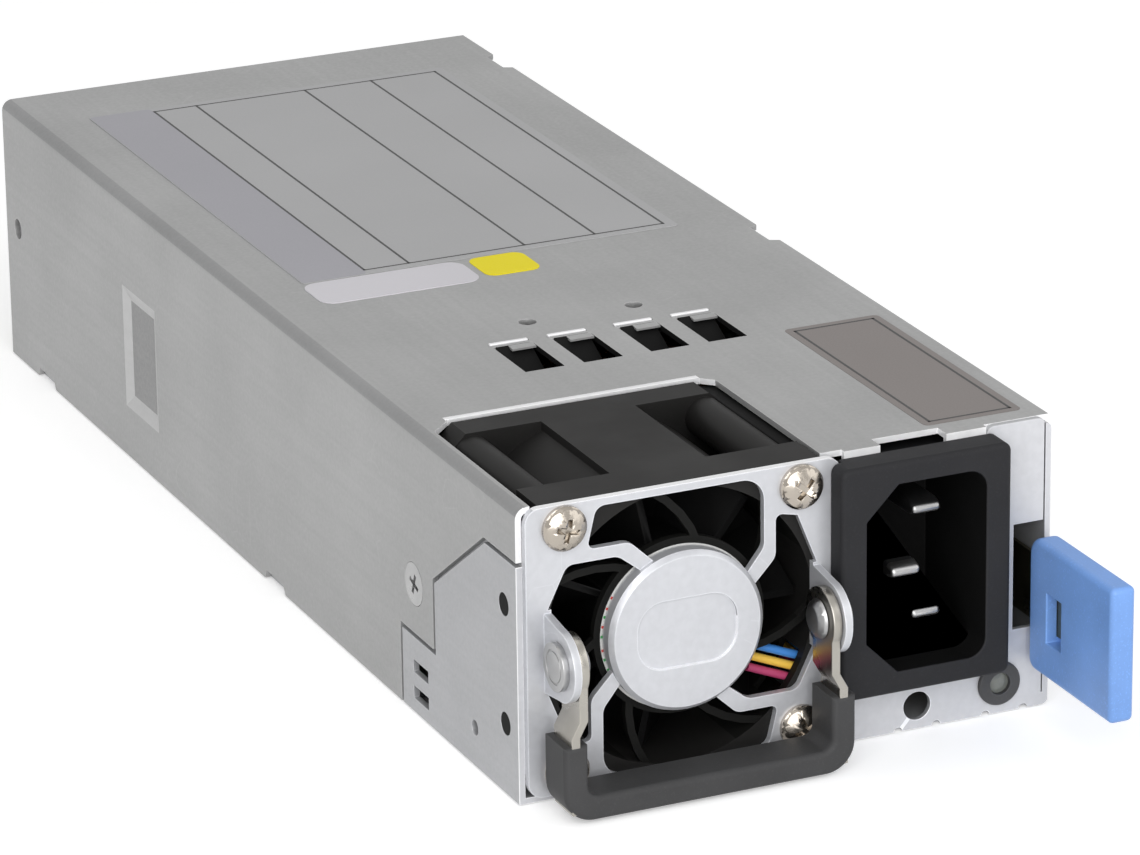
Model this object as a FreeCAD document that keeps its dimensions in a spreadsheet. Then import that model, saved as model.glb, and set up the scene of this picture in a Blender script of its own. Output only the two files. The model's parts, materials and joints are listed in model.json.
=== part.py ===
"""Hot swap server power supply module.

A narrow sheet-metal case with a fan behind a finger guard, a mains inlet, a fold-down
handle, a sprung latch with a release tab, and the power electronics on a board whose
rear edge is the plug.  All lengths are in millimetres.

Frame: X to the right as seen from the front, Y towards the rear, Z up.  The origin is
at the middle of the case's underside.
"""
import FreeCAD, Part
import math
import os
import Sketcher
from FreeCAD import Rotation, Vector

DOC = FreeCAD.newDocument("power_supply")
SHEET = DOC.addObject("Spreadsheet::Sheet", "Sheet")

# ---------------------------------------------------------------------------------
# driving sizes
# ---------------------------------------------------------------------------------
DIMENSIONS = {
    # case
    "case_width": 73.5,
    "case_height": 39.0,
    "case_length": 185.0,
    "sheet_gauge": 0.8,
    "lap_gap": 0.05,
    "bend_outer": 1.6,
    "bend_inner": 0.8,
    "lip_width": 5.2,
    "lip_height": 4.5,
    "notch_long": 8.6,
    "notch_deep": 1.3,
    "notch_rear_inset": 19.2,
    "notch_front_place": 76.3,
    # cover
    "window_deep": 32.0,
    "window_corner": 3.0,
    "window_margin": 1.0,
    "wing_deep": 26.2,
    "wing_long": 37.0,
    "wing_step": 11.0,
    "wing_tab_top": 20.5,
    "wing_slope_front": 9.8,
    "wing_top_drop": 7.1,
    "wing_emboss_gap": 0.6,
    "cover_lip_drop": 1.6,
    "louvre_wide": 5.5,
    "louvre_long": 10.3,
    "louvre_place": 43.9,
    "louvre_inner": 4.75,
    "louvre_outer": 13.0,
    "louvre_drop": 3.4,
    "slit_wide": 0.6,
    "vent_hole_radius": 1.2,
    "vent_hole_place": 61.5,
    "vent_hole_side": 7.65,
    "dent_place": 129.9,
    "dent_long": 12.8,
    "dent_tall": 18.0,
    "dent_low": 7.6,
    "dent_deep": 0.6,
    "dent_slope": 1.9,
    "rear_hole_radius": 1.5,
    "rear_hole_inset": 4.8,
    "rear_hole_height": 20.6,
    # wing details
    "wing_hole_place": 3.9,
    "wing_hole_low": 9.4,
    "wing_hole_drop": 6.7,
    "wing_hole_radius": 1.5,
    "wing_small_place": 13.5,
    "wing_small_height": 5.2,
    "wing_small_radius": 1.0,
    "lance_place": 28.2,
    "lance_long": 4.8,
    "lance_tall": 1.7,
    "lance_low": 1.9,
    "lance_high": 5.5,
    "cover_screw_place": 32.2,
    "cover_screw_height": 17.7,
    "cover_screw_radius": 1.4,
    "cover_screw_head": 2.85,
    "cover_screw_end_gap": 0.35,
    "head_gap": 0.05,
    "lip_start": 2.4,
    "lip_slot_start": 7.4,
    "lip_slot_wide": 9.2,
    "lip_slot_deep": 2.4,
    # front panel
    "panel_flange_wide": 8.4,
    "panel_corner": 1.2,
    "panel_seam": 0.2,
    "panel_seam_low": 1.7,
    "panel_hole_radius": 1.9,
    "panel_hole_shift": 0.9,
    "panel_hole_height": 3.1,
    "relief_radius": 0.6,
    "relief_left": 15.4,
    "relief_span": 5.4,
    "relief_pitch": 12.4,
    "latch_mouth_low": 11.0,
    "latch_mouth_tall": 14.2,
    "latch_mouth_wide": 4.4,
    # fan
    "fan_side_gap": 2.95,
    "fan_gap": 0.1,
    "fan_depth": 31.3,
    "fan_flange": 4.6,
    "fan_front_flange": 6.2,
    "fan_rim": 0.8,
    "fan_hole_inset": 3.0,
    "fan_hole_radius": 1.3,
    "fan_boss_radius": 2.6,
    "fan_barrel_wall": 0.8,
    "fan_flat_half": 6.5,
    "fan_rear_cut": 2.2,
    "fan_hub_radius": 11.6,
    "fan_hub_gauge": 1.0,
    "fan_hub_place": 0.3,
    "strut_wide": 1.0,
    "strut_deep": 1.0,
    "strut_count": 7,
    "wire_notch_drop": 13.6,
    "wire_notch_tall": 6.9,
    "wire_notch_inset": 6.0,
    "tube_radius": 3.4,
    "tube_long": 17.0,
    "rotor_gap": 0.8,
    "rotor_hub_radius": 9.6,
    "rotor_wall": 0.7,
    "rotor_long": 21.0,
    "rotor_boss_radius": 2.2,
    "rotor_boss_long": 3.0,
    "blade_count": 7,
    "blade_gap": 0.6,
    "blade_thickness": 0.9,
    "blade_inset": 2.0,
    "magnet_gauge": 0.9,
    "magnet_long": 14.0,
    "shaft_radius": 1.0,
    "shaft_end_gap": 0.6,
    "bearing_radius": 2.5,
    "bearing_long": 2.5,
    "running_gap": 0.03,
    "stator_radius": 7.2,
    "stator_ring": 1.2,
    "stator_long": 9.0,
    "stator_place": 3.5,
    "pole_wide": 1.8,
    "pole_shoe_wide": 6.6,
    "pole_shoe_deep": 0.8,
    "winding_thick": 1.0,
    "fan_wire_radius": 0.55,
    "fan_wire_pitch": 1.6,
    "fan_wire_start": 10.0,
    "fan_wire_drop": 4.8,
    "fan_wire_fall": 4.25,
    "fan_wire_gap": 0.1,
    "plug_wide": 6.6,
    "plug_pitch": 1.9,
    "plug_long": 4.4,
    "plug_tall": 4.6,
    "plug_place": 35.0,
    "plug_lead": 2.0,
    # guard
    "guard_gauge": 1.0,
    "guard_rim": 1.0,
    "guard_corner": 2.0,
    "guard_tuck": 1.5,
    "opening_lug_inset": 6.1,
    "opening_lug_slope": 1.3,
    "opening_lug_corner": 0.8,
    "opening_near_corner": 1.5,
    "opening_far_corner": 3.0,
    "opening_ear_drop": 2.4,
    "ear_relief_wide": 0.4,
    "ear_relief_out": 0.5,
    "guard_hub_radius": 10.5,
    "guard_hub_rise": 1.2,
    "guard_hub_edge": 0.6,
    "guard_panel_wide": 13.5,
    "guard_panel_tall": 9.0,
    "guard_panel_deep": 0.35,
    "guard_panel_corner": 3.6,
    "spoke_inset": 8.0,
    "spoke_wide": 1.6,
    "spoke_bend": 8.0,
    "spoke_bend_round": 2.0,
    "guard_flange_long": 8.0,
    "guard_flange_low": 4.0,
    "guard_flange_drop": 1.9,
    "screw_radius": 1.2,
    "screw_head_radius": 2.9,
    "screw_head_tall": 1.8,
    "screw_dome": 0.9,
    "screw_long": 7.0,
    # handle
    "ear_inset": 0.25,
    "ear_gauge": 1.0,
    "ear_radius": 4.6,
    "ear_base_half": 5.2,
    "pivot_out": 4.4,
    "strap_gauge": 1.2,
    "strap_wide": 5.4,
    "strap_back": 0.7,
    "strap_eye_radius": 4.0,
    "joggle_high": 6.4,
    "joggle_low": 8.4,
    "grip_side": 1.0,
    "grip_bar": 3.2,
    "grip_front": 9.1,
    "grip_rear": 3.15,
    "grip_tall": 10.1,
    "grip_floor_gap": 0.3,
    "grip_corner": 4.0,
    "grip_inner_corner": 1.5,
    "grip_edge": 0.8,
    "rivet_radius": 1.6,
    "rivet_head_radius": 3.1,
    "rivet_head_tall": 0.8,
    "rivet_ring_radius": 2.1,
    "rivet_ring_wide": 0.25,
    "rivet_ring_deep": 0.15,
    "rivet_end_radius": 2.6,
    "rivet_end_tall": 1.0,
    "slide_gap": 0.1,
    # inlet
    "bezel_gap": 1.1,
    "bezel_side": 7.75,
    "bezel_floor": 7.2,
    "bezel_out": 4.2,
    "bezel_drop": 0.9,
    "bezel_edge": 0.7,
    "bezel_corner": 1.2,
    "inlet_body_inset": 1.6,
    "inlet_deep": 20.0,
    "socket_side": 3.5,
    "socket_rim": 2.95,
    "socket_deep": 16.5,
    "socket_chamfer": 4.4,
    "socket_corner": 2.5,
    "pin_wide": 4.0,
    "pin_thick": 2.0,
    "pin_pitch": 14.0,
    "pin_offset": 2.0,
    "pin_recess": 3.9,
    "earth_recess": 1.7,
    "pin_tip": 1.5,
    "pin_tip_drop": 0.5,
    "terminal_long": 4.0,
    "filter_board_place": 21.5,
    "filter_board_margin": 1.0,
    "filter_board_low": 7.0,
    "filter_board_head": 2.2,
    # lamp
    "lamp_margin": 0.1,
    "lamp_floor": 1.2,
    "lamp_out": 0.6,
    "lamp_side": 0.6,
    "lamp_neck_long": 3.0,
    "lamp_edge": 0.2,
    "lens_radius": 1.4,
    "lens_recess": 0.3,
    "lens_long": 7.0,
    # latch
    "leaf_gauge": 0.5,
    "leaf_space": 0.55,
    "leaf_tall": 9.0,
    "leaf_low": 11.5,
    "leaf_rear": 46.0,
    "latch_pivot_place": 41.0,
    "latch_play": 0.3,
    "catch_place": 15.0,
    "catch_long": 6.0,
    "catch_tall": 5.0,
    "catch_out": 2.0,
    "catch_flat": 0.9,
    "catch_flat_inside": 0.63,
    "catch_room": 1.0,
    "tab_thick": 3.4,
    "tab_side_gap": 0.05,
    "tab_tall": 18.0,
    "tab_low": 6.0,
    "tab_front": 22.3,
    "tab_rear": 0.8,
    "tab_round": 2.5,
    "tab_low_round": 1.6,
    "tab_edge": 0.8,
    "tab_window_place": 7.45,
    "tab_window_long": 3.7,
    "tab_window_low": 10.9,
    "tab_window_tall": 6.7,
    "leaf_in_tab": 17.0,
    # rear end and boards
    "board_height": 5.0,
    "board_gauge": 1.6,
    "board_side_gap": 1.6,
    "board_front": 33.0,
    "tongue_inset": 4.75,
    "tongue_out": 8.0,
    "tongue_gap": 0.6,
    "contact_pitch": 2.54,
    "contact_margin": 2.9,
    "contact_wide": 1.8,
    "contact_long": 6.5,
    "contact_gauge": 0.1,
    "contact_inset": 0.8,
    "insulator_gauge": 0.3,
    "insulator_inset": 0.5,
    "insulator_gap": 0.3,
    "standoff_radius": 2.4,
    "board_screw_radius": 1.2,
    "board_screw_long": 4.0,
    "board_screw_head_radius": 2.2,
    "board_screw_head_tall": 1.4,
    "hole_gap": 0.05,
    "vent_slot_wide": 2.0,
    "vent_slot_tall": 11.0,
    "vent_slot_pitch": 3.6,
    "rear_flange": 9.0,
    # mains side of the board
    "part_gap": 0.8,
    "choke_side": 2.25,
    "choke_place": 49.0,
    "choke_radius": 11.0,
    "choke_hole_radius": 4.5,
    "choke_tall": 11.0,
    "boost_side": 4.75,
    "boost_place": 78.0,
    "boost_radius": 12.5,
    "boost_hole_radius": 5.0,
    "boost_tall": 13.0,
    "winding_gauge": 1.1,
    "fuse_place": 38.0,
    "fuse_long": 20.0,
    "fuse_radius": 2.6,
    "fuse_cap_long": 5.0,
    "fuse_cap_gauge": 0.3,
    "film_wide": 8.0,
    "film_long": 22.0,
    "film_tall": 18.0,
    "film_side": 8.35,
    "film_front_place": 41.0,
    "film_pitch": 12.0,
    "film_rear_place": 42.0,
    "disc_radius": 4.0,
    "disc_thick": 3.0,
    "disc_gap": 2.0,
    "disc_place": 66.0,
    "disc_pitch": 8.0,
    "bridge_gap": 4.6,
    "bridge_place": 78.0,
    "bridge_thick": 4.0,
    "bridge_tall": 16.0,
    # power side of the board
    "bulk_side": 1.05,
    "bulk_head_gap": 2.6,
    "bulk_place": 93.5,
    "bulk_rear_room": 7.5,
    "bulk_lift": 0.4,
    "sink_side": 4.35,
    "sink_place": 64.0,
    "sink_rear_room": 24.0,
    "sink_base": 2.6,
    "sink_tall": 26.0,
    "sink_fin": 1.2,
    "sink_fin_out": 5.0,
    "sink_fin_count": 5,
    "package_wide": 15.6,
    "package_tall": 20.0,
    "package_thick": 4.8,
    "package_pitch": 18.0,
    "core_left_gap": 0.6,
    "core_right_gap": 1.7,
    "core_rear_room": 6.0,
    "core_long": 32.0,
    "core_tall": 26.0,
    "core_plate": 5.0,
    "core_centre": 8.0,
    "coil_gap": 0.4,
    # output side of the board
    "output_room": 35.0,
    "output_sink_side": 3.35,
    "output_sink_gap": 2.5,
    "output_sink_long": 22.0,
    "output_sink_tall": 22.0,
    "output_sink_base": 3.0,
    "output_fin_count": 7,
    "can_radius": 4.0,
    "can_tall": 14.0,
    "can_side": 7.65,
    "can_inset": 2.0,
    "can_pitch": 8.6,
    "can_columns": 3,
    "can_rows": 3,
    "control_side": 1.95,
    "control_inset": 1.0,
    "control_long": 24.0,
    "control_tall": 26.0,
    "control_gauge": 1.2,
    "chip_size": 6.0,
    "chip_tall": 1.2,
    "bar_gap": 0.15,
    "bar_wide": 10.0,
    "bar_pitch": 14.0,
    "bar_inset": 11.0,
    "bar_long": 8.0,
    "bar_gauge": 2.0,
}


class Size:
    """A length with its present value and the sheet expression that gives it."""

    def __init__(self, value, text):
        self.value = value
        self.text = text

    def __add__(self, other):
        other = as_size(other)
        return Size(self.value + other.value, "(%s + %s)" % (self.text, other.text))

    def __radd__(self, other):
        return as_size(other) + self

    def __sub__(self, other):
        other = as_size(other)
        return Size(self.value - other.value, "(%s - %s)" % (self.text, other.text))

    def __rsub__(self, other):
        return as_size(other) - self

    def __mul__(self, other):
        other = as_size(other)
        return Size(self.value * other.value, "(%s * %s)" % (self.text, other.text))

    def __rmul__(self, other):
        return self * other

    def __truediv__(self, other):
        other = as_size(other)
        return Size(self.value / other.value, "(%s / %s)" % (self.text, other.text))

    def __neg__(self):
        return Size(-self.value, "(-%s)" % self.text)


def as_size(number):
    """Return a plain number as a Size, and a Size as it is."""
    if isinstance(number, Size):
        return number
    return Size(float(number), repr(float(number)))


class Sizes:
    """The driving sizes, one attribute each, written to the sheet with aliases."""

    def __init__(self, table):
        for row, (alias, value) in enumerate(table.items(), start=1):
            SHEET.set("A%d" % row, alias)
            SHEET.set("B%d" % row, str(value))
            SHEET.setAlias("B%d" % row, alias)
            setattr(self, alias, Size(float(value), "Sheet." + alias))
        DOC.recompute()


S = Sizes(DIMENSIONS)

# places worked out from the driving sizes
HALF = S.case_width / 2
FRONT = -S.case_length / 2
REAR = S.case_length / 2
WALL_IN = HALF - S.sheet_gauge
TOP_IN = S.case_height - S.sheet_gauge
LAP = WALL_IN - S.lap_gap
FAN_SIZE = S.case_height - S.sheet_gauge - 2 * S.fan_gap
FAN_HALF = FAN_SIZE / 2
FAN_X = S.fan_side_gap + FAN_HALF - HALF
FAN_Z = S.sheet_gauge + S.fan_gap + FAN_HALF
FAN_HOLE = FAN_HALF - S.fan_hole_inset
FAN_BORE = FAN_HALF - S.fan_rim
FAN_BARREL = FAN_BORE + S.fan_barrel_wall
BEZEL_LEFT = FAN_X + FAN_HALF + S.bezel_gap
BEZEL_RIGHT = HALF - S.bezel_side
BEZEL_WIDE = BEZEL_RIGHT - BEZEL_LEFT
BEZEL_TOP = S.case_height - S.bezel_drop
BEZEL_LOW = S.bezel_floor
BEZEL_TALL = BEZEL_TOP - BEZEL_LOW
INLET_X = BEZEL_LEFT + BEZEL_WIDE / 2
INLET_Z = BEZEL_TOP - BEZEL_TALL / 2
BOARD_TOP = S.board_height + S.board_gauge
PANEL_TOP = S.case_height - S.cover_lip_drop - S.lap_gap


def behind(distance):
    """Return the Y place that lies this far behind the front of the case."""
    return FRONT + distance


# ---------------------------------------------------------------------------------
# modelling helpers
# ---------------------------------------------------------------------------------
ARC_SHARE = 0.45
EDGE_MATCH = 0.001
SPOKE_ROOT_LOW = 23
SPOKE_ROOT_HIGH = 34
STRUT_START = -27
STRUT_SWEEP = 26
STRUT_LEAN = 38
STRUT_STEPS = 4
BLADE_TWIST = 55
BLADE_BOW = 1.3
BLADE_STEPS = 2
LEAD_COUNT = 3
SHOULDER = 0.9
NARROWED = 0.7
DOME = ((0.5, 0.2), (0.85, 0.7), (1.0, 1.4))
QUARTERS = ((1, 0), (0, 1), (-1, 0), (0, -1))
NORMAL_SIGN = {"XY": 1, "XZ": -1, "YZ": 1}
PLANE_ROLE = {"XY": "XY_Plane", "XZ": "XZ_Plane", "YZ": "YZ_Plane"}
AXIS_ROTATION = {
    "X": Rotation(Vector(0, 1, 0), 90),
    "Y": Rotation(Vector(1, 0, 0), -90),
    "Z": Rotation(),
}


def place(shape, x=0, y=0, z=0):
    """Bind the three coordinates of an object's placement."""
    for axis, value in (("x", x), ("y", y), ("z", z)):
        shape.setExpression("Placement.Base." + axis, as_size(value).text)
    return shape


def new_body(name, x=0, y=0, z=0):
    """Add an empty body whose own origin stands at x, y, z."""
    body = DOC.addObject("PartDesign::Body", name)
    body.Label = name
    return place(body, x, y, z)


def origin_feature(body, role):
    """Return one of the body's own origin planes or axes."""
    for feature in body.Origin.OriginFeatures:
        if feature.Role == role:
            return feature
    raise ValueError(role)


class Drawing:
    """Lines, arcs and circles with their bound sizes, gathered and added in one go."""

    def __init__(self, outlines=(), rings=()):
        self.geometry = []
        self.rules = []
        self.texts = []
        for outline in outlines:
            self.add_outline(outline)
        for ring in rings:
            self.add_ring(*ring)

    def rule(self, kind, *values, text=None):
        """Add a constraint, bound to an expression where text is given."""
        self.rules.append(Sketcher.Constraint(kind, *values))
        self.texts.append(text)

    def curve(self, geometry):
        """Add a piece of geometry and return its number."""
        self.geometry.append(geometry)
        return len(self.geometry) - 1

    def pin(self, number, vertex, u, v):
        """Hold one vertex at u, v from the sketch's origin."""
        for kind, size in (("DistanceX", u), ("DistanceY", v)):
            self.rule(kind, -1, 1, number, vertex, size.value, text=size.text)

    def add_ring(self, u, v, radius):
        """Draw a circle of this radius about u, v."""
        u, v, radius = as_size(u), as_size(v), as_size(radius)
        number = self.curve(Part.Circle(Vector(u.value, v.value, 0), Vector(0, 0, 1), radius.value))
        self.pin(number, 3, u, v)
        self.rule("Radius", number, radius.value, text=radius.text)

    def add_round(self, corner, enter, leave):
        """Draw the quarter arc at a corner and return it with its start and end vertices."""
        centre_u = enter[0].value + leave[0].value - corner[0].value
        centre_v = enter[1].value + leave[1].value - corner[1].value
        first = math.atan2(enter[1].value - centre_v, enter[0].value - centre_u)
        last = math.atan2(leave[1].value - centre_v, leave[0].value - centre_u)
        turns_left = math.sin(last - first) > 0
        if not turns_left:
            first, last = last, first
        radius = corner[2]
        circle = Part.Circle(Vector(centre_u, centre_v, 0), Vector(0, 0, 1), radius.value)
        number = self.curve(Part.ArcOfCircle(circle, first, last))
        start, end = (1, 2) if turns_left else (2, 1)
        self.pin(number, start, *enter)
        self.pin(number, end, *leave)
        self.rule("Radius", number, radius.value, text=radius.text)
        return number, start, end

    def add_outline(self, corners):
        """Draw a closed outline.

        Each corner is (u, v), or (u, v, radius) where two axis-parallel sides meet in a
        round.
        """
        points = [tuple(as_size(value) for value in corner) for corner in corners]
        count = len(points)
        joints = []
        for index, point in enumerate(points):
            enter = leave = point[:2]
            if len(point) == 3:
                enter = step_towards(point, points[index - 1])
                leave = step_towards(point, points[(index + 1) % count])
            joints.append((point, enter, leave))
        pieces = []
        for index, (point, enter, leave) in enumerate(joints):
            if len(point) == 3:
                pieces.append(self.add_round(point, enter, leave))
            goal = joints[(index + 1) % count][1]
            start = Vector(leave[0].value, leave[1].value, 0)
            end = Vector(goal[0].value, goal[1].value, 0)
            number = self.curve(Part.LineSegment(start, end))
            pieces.append((number, 1, 2))
            if len(point) == 2:
                self.pin(number, 1, *enter)
        for piece, following in zip(pieces, pieces[1:] + pieces[:1]):
            self.rule("Coincident", piece[0], piece[2], following[0], following[1])

    def put_in(self, sketch):
        """Add everything to a sketch and bind the sizes."""
        sketch.addGeometry(self.geometry, False)
        sketch.addConstraint(self.rules)
        for index, text in enumerate(self.texts):
            if text is not None:
                sketch.setExpression("Constraints[%d]" % index, text)


def step_towards(corner, goal):
    """Return the point one corner radius away on the axis-parallel side to goal."""
    du = goal[0].value - corner[0].value
    dv = goal[1].value - corner[1].value
    if abs(du) > abs(dv):
        return (corner[0] + math.copysign(1, du) * corner[2], corner[1])
    return (corner[0], corner[1] + math.copysign(1, dv) * corner[2])


def box_outline(u0, u1, v0, v1, radius=None):
    """Return the four corners of a rectangle, rounded if a radius is given."""
    corners = [(u0, v0), (u1, v0), (u1, v1), (u0, v1)]
    if radius is None:
        return corners
    return [(u, v, radius) for u, v in corners]


def new_sketch(body, name, plane, at, outlines=(), rings=()):
    """Add a sketch on one of the body's planes, moved along its axis to the place at."""
    sketch = body.newObject("Sketcher::SketchObject", name)
    sketch.AttachmentSupport = [(origin_feature(body, PLANE_ROLE[plane]), "")]
    sketch.MapMode = "FlatFace"
    sketch.setExpression("AttachmentOffset.Base.z", (NORMAL_SIGN[plane] * as_size(at)).text)
    Drawing(outlines, rings).put_in(sketch)
    sketch.Visibility = False
    return sketch


def pad(body, name, plane, at, depth, outlines=(), rings=(), forward=True):
    """Add material from the plane at this place, towards +axis or, if not forward, -axis."""
    sketch = new_sketch(body, name + "_sketch", plane, at, outlines, rings)
    feature = body.newObject("PartDesign::Pad", name)
    feature.Profile = sketch
    feature.setExpression("Length", as_size(depth).text)
    feature.Reversed = (NORMAL_SIGN[plane] > 0) != forward
    return feature


def pocket(body, name, plane, at, depth, outlines=(), rings=(), forward=True):
    """Take material away from the plane at this place, towards +axis or -axis."""
    sketch = new_sketch(body, name + "_sketch", plane, at, outlines, rings)
    feature = body.newObject("PartDesign::Pocket", name)
    feature.Profile = sketch
    feature.setExpression("Length", as_size(depth).text)
    feature.Reversed = (NORMAL_SIGN[plane] > 0) == forward
    return feature


def turn(body, name, outline, axis="V_Axis", plane="XY", at=0):
    """Add a body of revolution: the outline turned about the sketch's own axis."""
    sketch = new_sketch(body, name + "_sketch", plane, at, [outline])
    feature = body.newObject("PartDesign::Revolution", name)
    feature.Profile = sketch
    feature.ReferenceAxis = (sketch, [axis])
    feature.Angle = 360
    return feature


def polar_copies(body, name, features, axis_role, count):
    """Repeat features evenly about one of the body's own axes."""
    pattern = body.newObject("PartDesign::PolarPattern", name)
    pattern.Originals = features
    pattern.Axis = (origin_feature(body, axis_role), [""])
    pattern.Angle = 360
    pattern.setExpression("Occurrences", as_size(count).text)
    body.Tip = pattern
    return pattern


def linear_copies(body, name, features, axis_role, span, count):
    """Repeat features evenly over a span along one of the body's own axes."""
    pattern = body.newObject("PartDesign::LinearPattern", name)
    pattern.Originals = features
    pattern.Direction = (origin_feature(body, axis_role), [""])
    pattern.setExpression("Length", as_size(span).text)
    pattern.Occurrences = count
    body.Tip = pattern
    return pattern


def parallel_edges(axis, **places):
    """Return a test for straight edges along an axis that pass through the given places."""
    direction = {"x": Vector(1, 0, 0), "y": Vector(0, 1, 0), "z": Vector(0, 0, 1)}[axis]

    def test(edge):
        if edge.Curve.TypeId != "Part::GeomLine":
            return False
        if abs(abs(edge.Curve.Direction.dot(direction)) - 1) > 1e-6:
            return False
        middle = edge.CenterOfMass
        return all(min(abs(getattr(middle, key) - as_size(goal).value) for goal in goals) < 1e-4
                   for key, goals in places.items())

    return test


def dress_edges(body, name, kind, size, chosen):
    """Fillet or chamfer the chosen edges of the body as it stands."""
    DOC.recompute()
    base = body.Tip
    names = ["Edge%d" % (index + 1) for index, edge in enumerate(base.Shape.Edges) if chosen(edge)]
    if not names:
        raise ValueError("no edges for " + name)
    feature = body.newObject("PartDesign::" + kind, name)
    feature.Base = (base, names)
    feature.setExpression("Radius" if kind == "Fillet" else "Size", as_size(size).text)
    body.Tip = feature
    return feature


def block(name, x0, x1, y0, y1, z0, z1):
    """Add a box between two corners."""
    box = DOC.addObject("Part::Box", name)
    x0, y0, z0 = as_size(x0), as_size(y0), as_size(z0)
    box.setExpression("Length", (x1 - x0).text)
    box.setExpression("Width", (y1 - y0).text)
    box.setExpression("Height", (z1 - z0).text)
    return place(box, x0, y0, z0)


def rod(name, axis, x, y, z, radius, length):
    """Add a cylinder from x, y, z along +axis."""
    cylinder = DOC.addObject("Part::Cylinder", name)
    cylinder.Placement = FreeCAD.Placement(Vector(), AXIS_ROTATION[axis])
    cylinder.setExpression("Radius", as_size(radius).text)
    cylinder.setExpression("Height", as_size(length).text)
    return place(cylinder, x, y, z)


def cut(name, base, *tools):
    """Subtract the tools from the base, one after another."""
    for index, tool in enumerate(tools):
        result = DOC.addObject("Part::Cut", "%s_cut_%d" % (name, index))
        result.Base = base
        result.Tool = tool
        base = result
    base.Label = name
    return base


def fuse(name, *shapes):
    """Join the shapes into one solid."""
    result = DOC.addObject("Part::MultiFuse", name)
    result.Shapes = list(shapes)
    result.Refine = True
    result.Label = name
    return result


def group(name, shapes):
    """Keep the shapes as separate solids in one node."""
    result = DOC.addObject("Part::Compound", name)
    result.Links = list(shapes)
    result.Label = name
    return result


# ---------------------------------------------------------------------------------
# places shared by several pieces
# ---------------------------------------------------------------------------------
LAMP_RADIUS = (BEZEL_LOW - S.lamp_floor - S.lamp_margin) / 2
LAMP_Z = S.lamp_floor + LAMP_RADIUS
LAMP_X = BEZEL_RIGHT + S.lamp_side
LAMP_NECK = LAMP_RADIUS - 2 * S.lamp_side
LEAF_OUT = WALL_IN - S.leaf_space
LEAF_IN = LEAF_OUT - S.leaf_gauge
LEAF_Z = S.leaf_low + S.leaf_tall / 2
LATCH_RIVET_HEIGHTS = (LEAF_Z - S.leaf_tall / 4, LEAF_Z + S.leaf_tall / 4)
WING_TOP = S.case_height - S.wing_top_drop
BOARD_HALF = WALL_IN - S.board_side_gap
REAR_FACE = REAR - S.sheet_gauge
ROTOR_PLACE = S.fan_hub_place + S.fan_hub_gauge + S.rotor_gap
STATOR_PLACE = FRONT + S.fan_hub_place + S.fan_hub_gauge + S.stator_place
PLUG_TOP = BOARD_TOP + S.plug_tall
EAR_HALF = FAN_HALF - S.ear_inset
GRIP_HALF = EAR_HALF + S.grip_side
PIVOT_Y = FRONT - S.guard_gauge - S.pivot_out
STRAP_OUT = EAR_HALF - S.ear_gauge - S.slide_gap
STRAP_FRONT = -S.strap_wide / 2 - S.strap_back
STRAP_LOW = S.grip_floor_gap + (S.grip_bar - S.strap_gauge) / 2 - FAN_Z
WING_HOLE_HIGH = WING_TOP - S.wing_hole_drop
TONGUE_HALF = HALF - S.tongue_inset
OUTPUT_FRONT = REAR - S.output_room

# lanes on the board, from the left wall and from the right wall towards the middle
CHOKE_X = -BOARD_HALF + S.choke_side + S.winding_gauge + S.choke_radius
SINK_X = -BOARD_HALF + S.sink_side
PACKAGE_RIGHT = SINK_X + S.sink_base + S.package_thick
BOOST_X = BOARD_HALF - S.boost_side - S.winding_gauge - S.boost_radius
FILM_FRONT_X = BOARD_HALF - S.film_side - S.film_wide
FILM_REAR_X = FILM_FRONT_X - S.film_pitch
FUSE_X = (CHOKE_X + S.choke_radius + S.winding_gauge + FILM_REAR_X) / 2
DISC_X = PACKAGE_RIGHT + S.disc_gap + S.disc_radius
BRIDGE_LEFT = PACKAGE_RIGHT + S.bridge_gap
BRIDGE_RIGHT = BOOST_X - S.boost_radius - S.winding_gauge - S.coil_gap
BULK_RADIUS = (TOP_IN - S.bulk_head_gap - S.bulk_lift - BOARD_TOP) / 2
BULK_X = BOARD_HALF - S.bulk_side - BULK_RADIUS
BULK_LONG = OUTPUT_FRONT - S.bulk_rear_room - FRONT - S.bulk_place
SINK_LONG = OUTPUT_FRONT - S.sink_rear_room - FRONT - S.sink_place
CORE_LEFT = PACKAGE_RIGHT + S.core_left_gap
CORE_RIGHT = BULK_X - BULK_RADIUS - S.core_right_gap
CORE_FRONT = OUTPUT_FRONT - S.core_rear_room - S.core_long
CAN_LEFT = BOARD_HALF - S.can_side - 2 * S.can_radius - (S.can_columns - 1) * S.can_pitch
OUTPUT_SINK_LEFT = -BOARD_HALF + S.output_sink_side
CONTROL_X = BOARD_HALF - S.control_side - S.control_gauge
SCREW_SIDE = BOARD_HALF - S.standoff_radius - S.board_side_gap
BAR_X = -SCREW_SIDE + S.board_screw_head_radius + S.bar_gap


# ---------------------------------------------------------------------------------
# sheet-metal case
# ---------------------------------------------------------------------------------
def wing_outline(gap, floor=0):
    """Return the outline of the opening in the cover's left wall, shrunk by a gap."""
    return [
        (FRONT, floor),
        (behind(S.wing_long - gap), floor),
        (behind(S.wing_long - gap), S.wing_step - gap),
        (behind(S.wing_deep - gap), S.wing_step - gap),
        (behind(S.wing_deep - gap), S.wing_tab_top - gap / 2),
        (behind(S.wing_slope_front - gap / 2), WING_TOP - gap),
        (FRONT, WING_TOP - gap),
    ]


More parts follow.
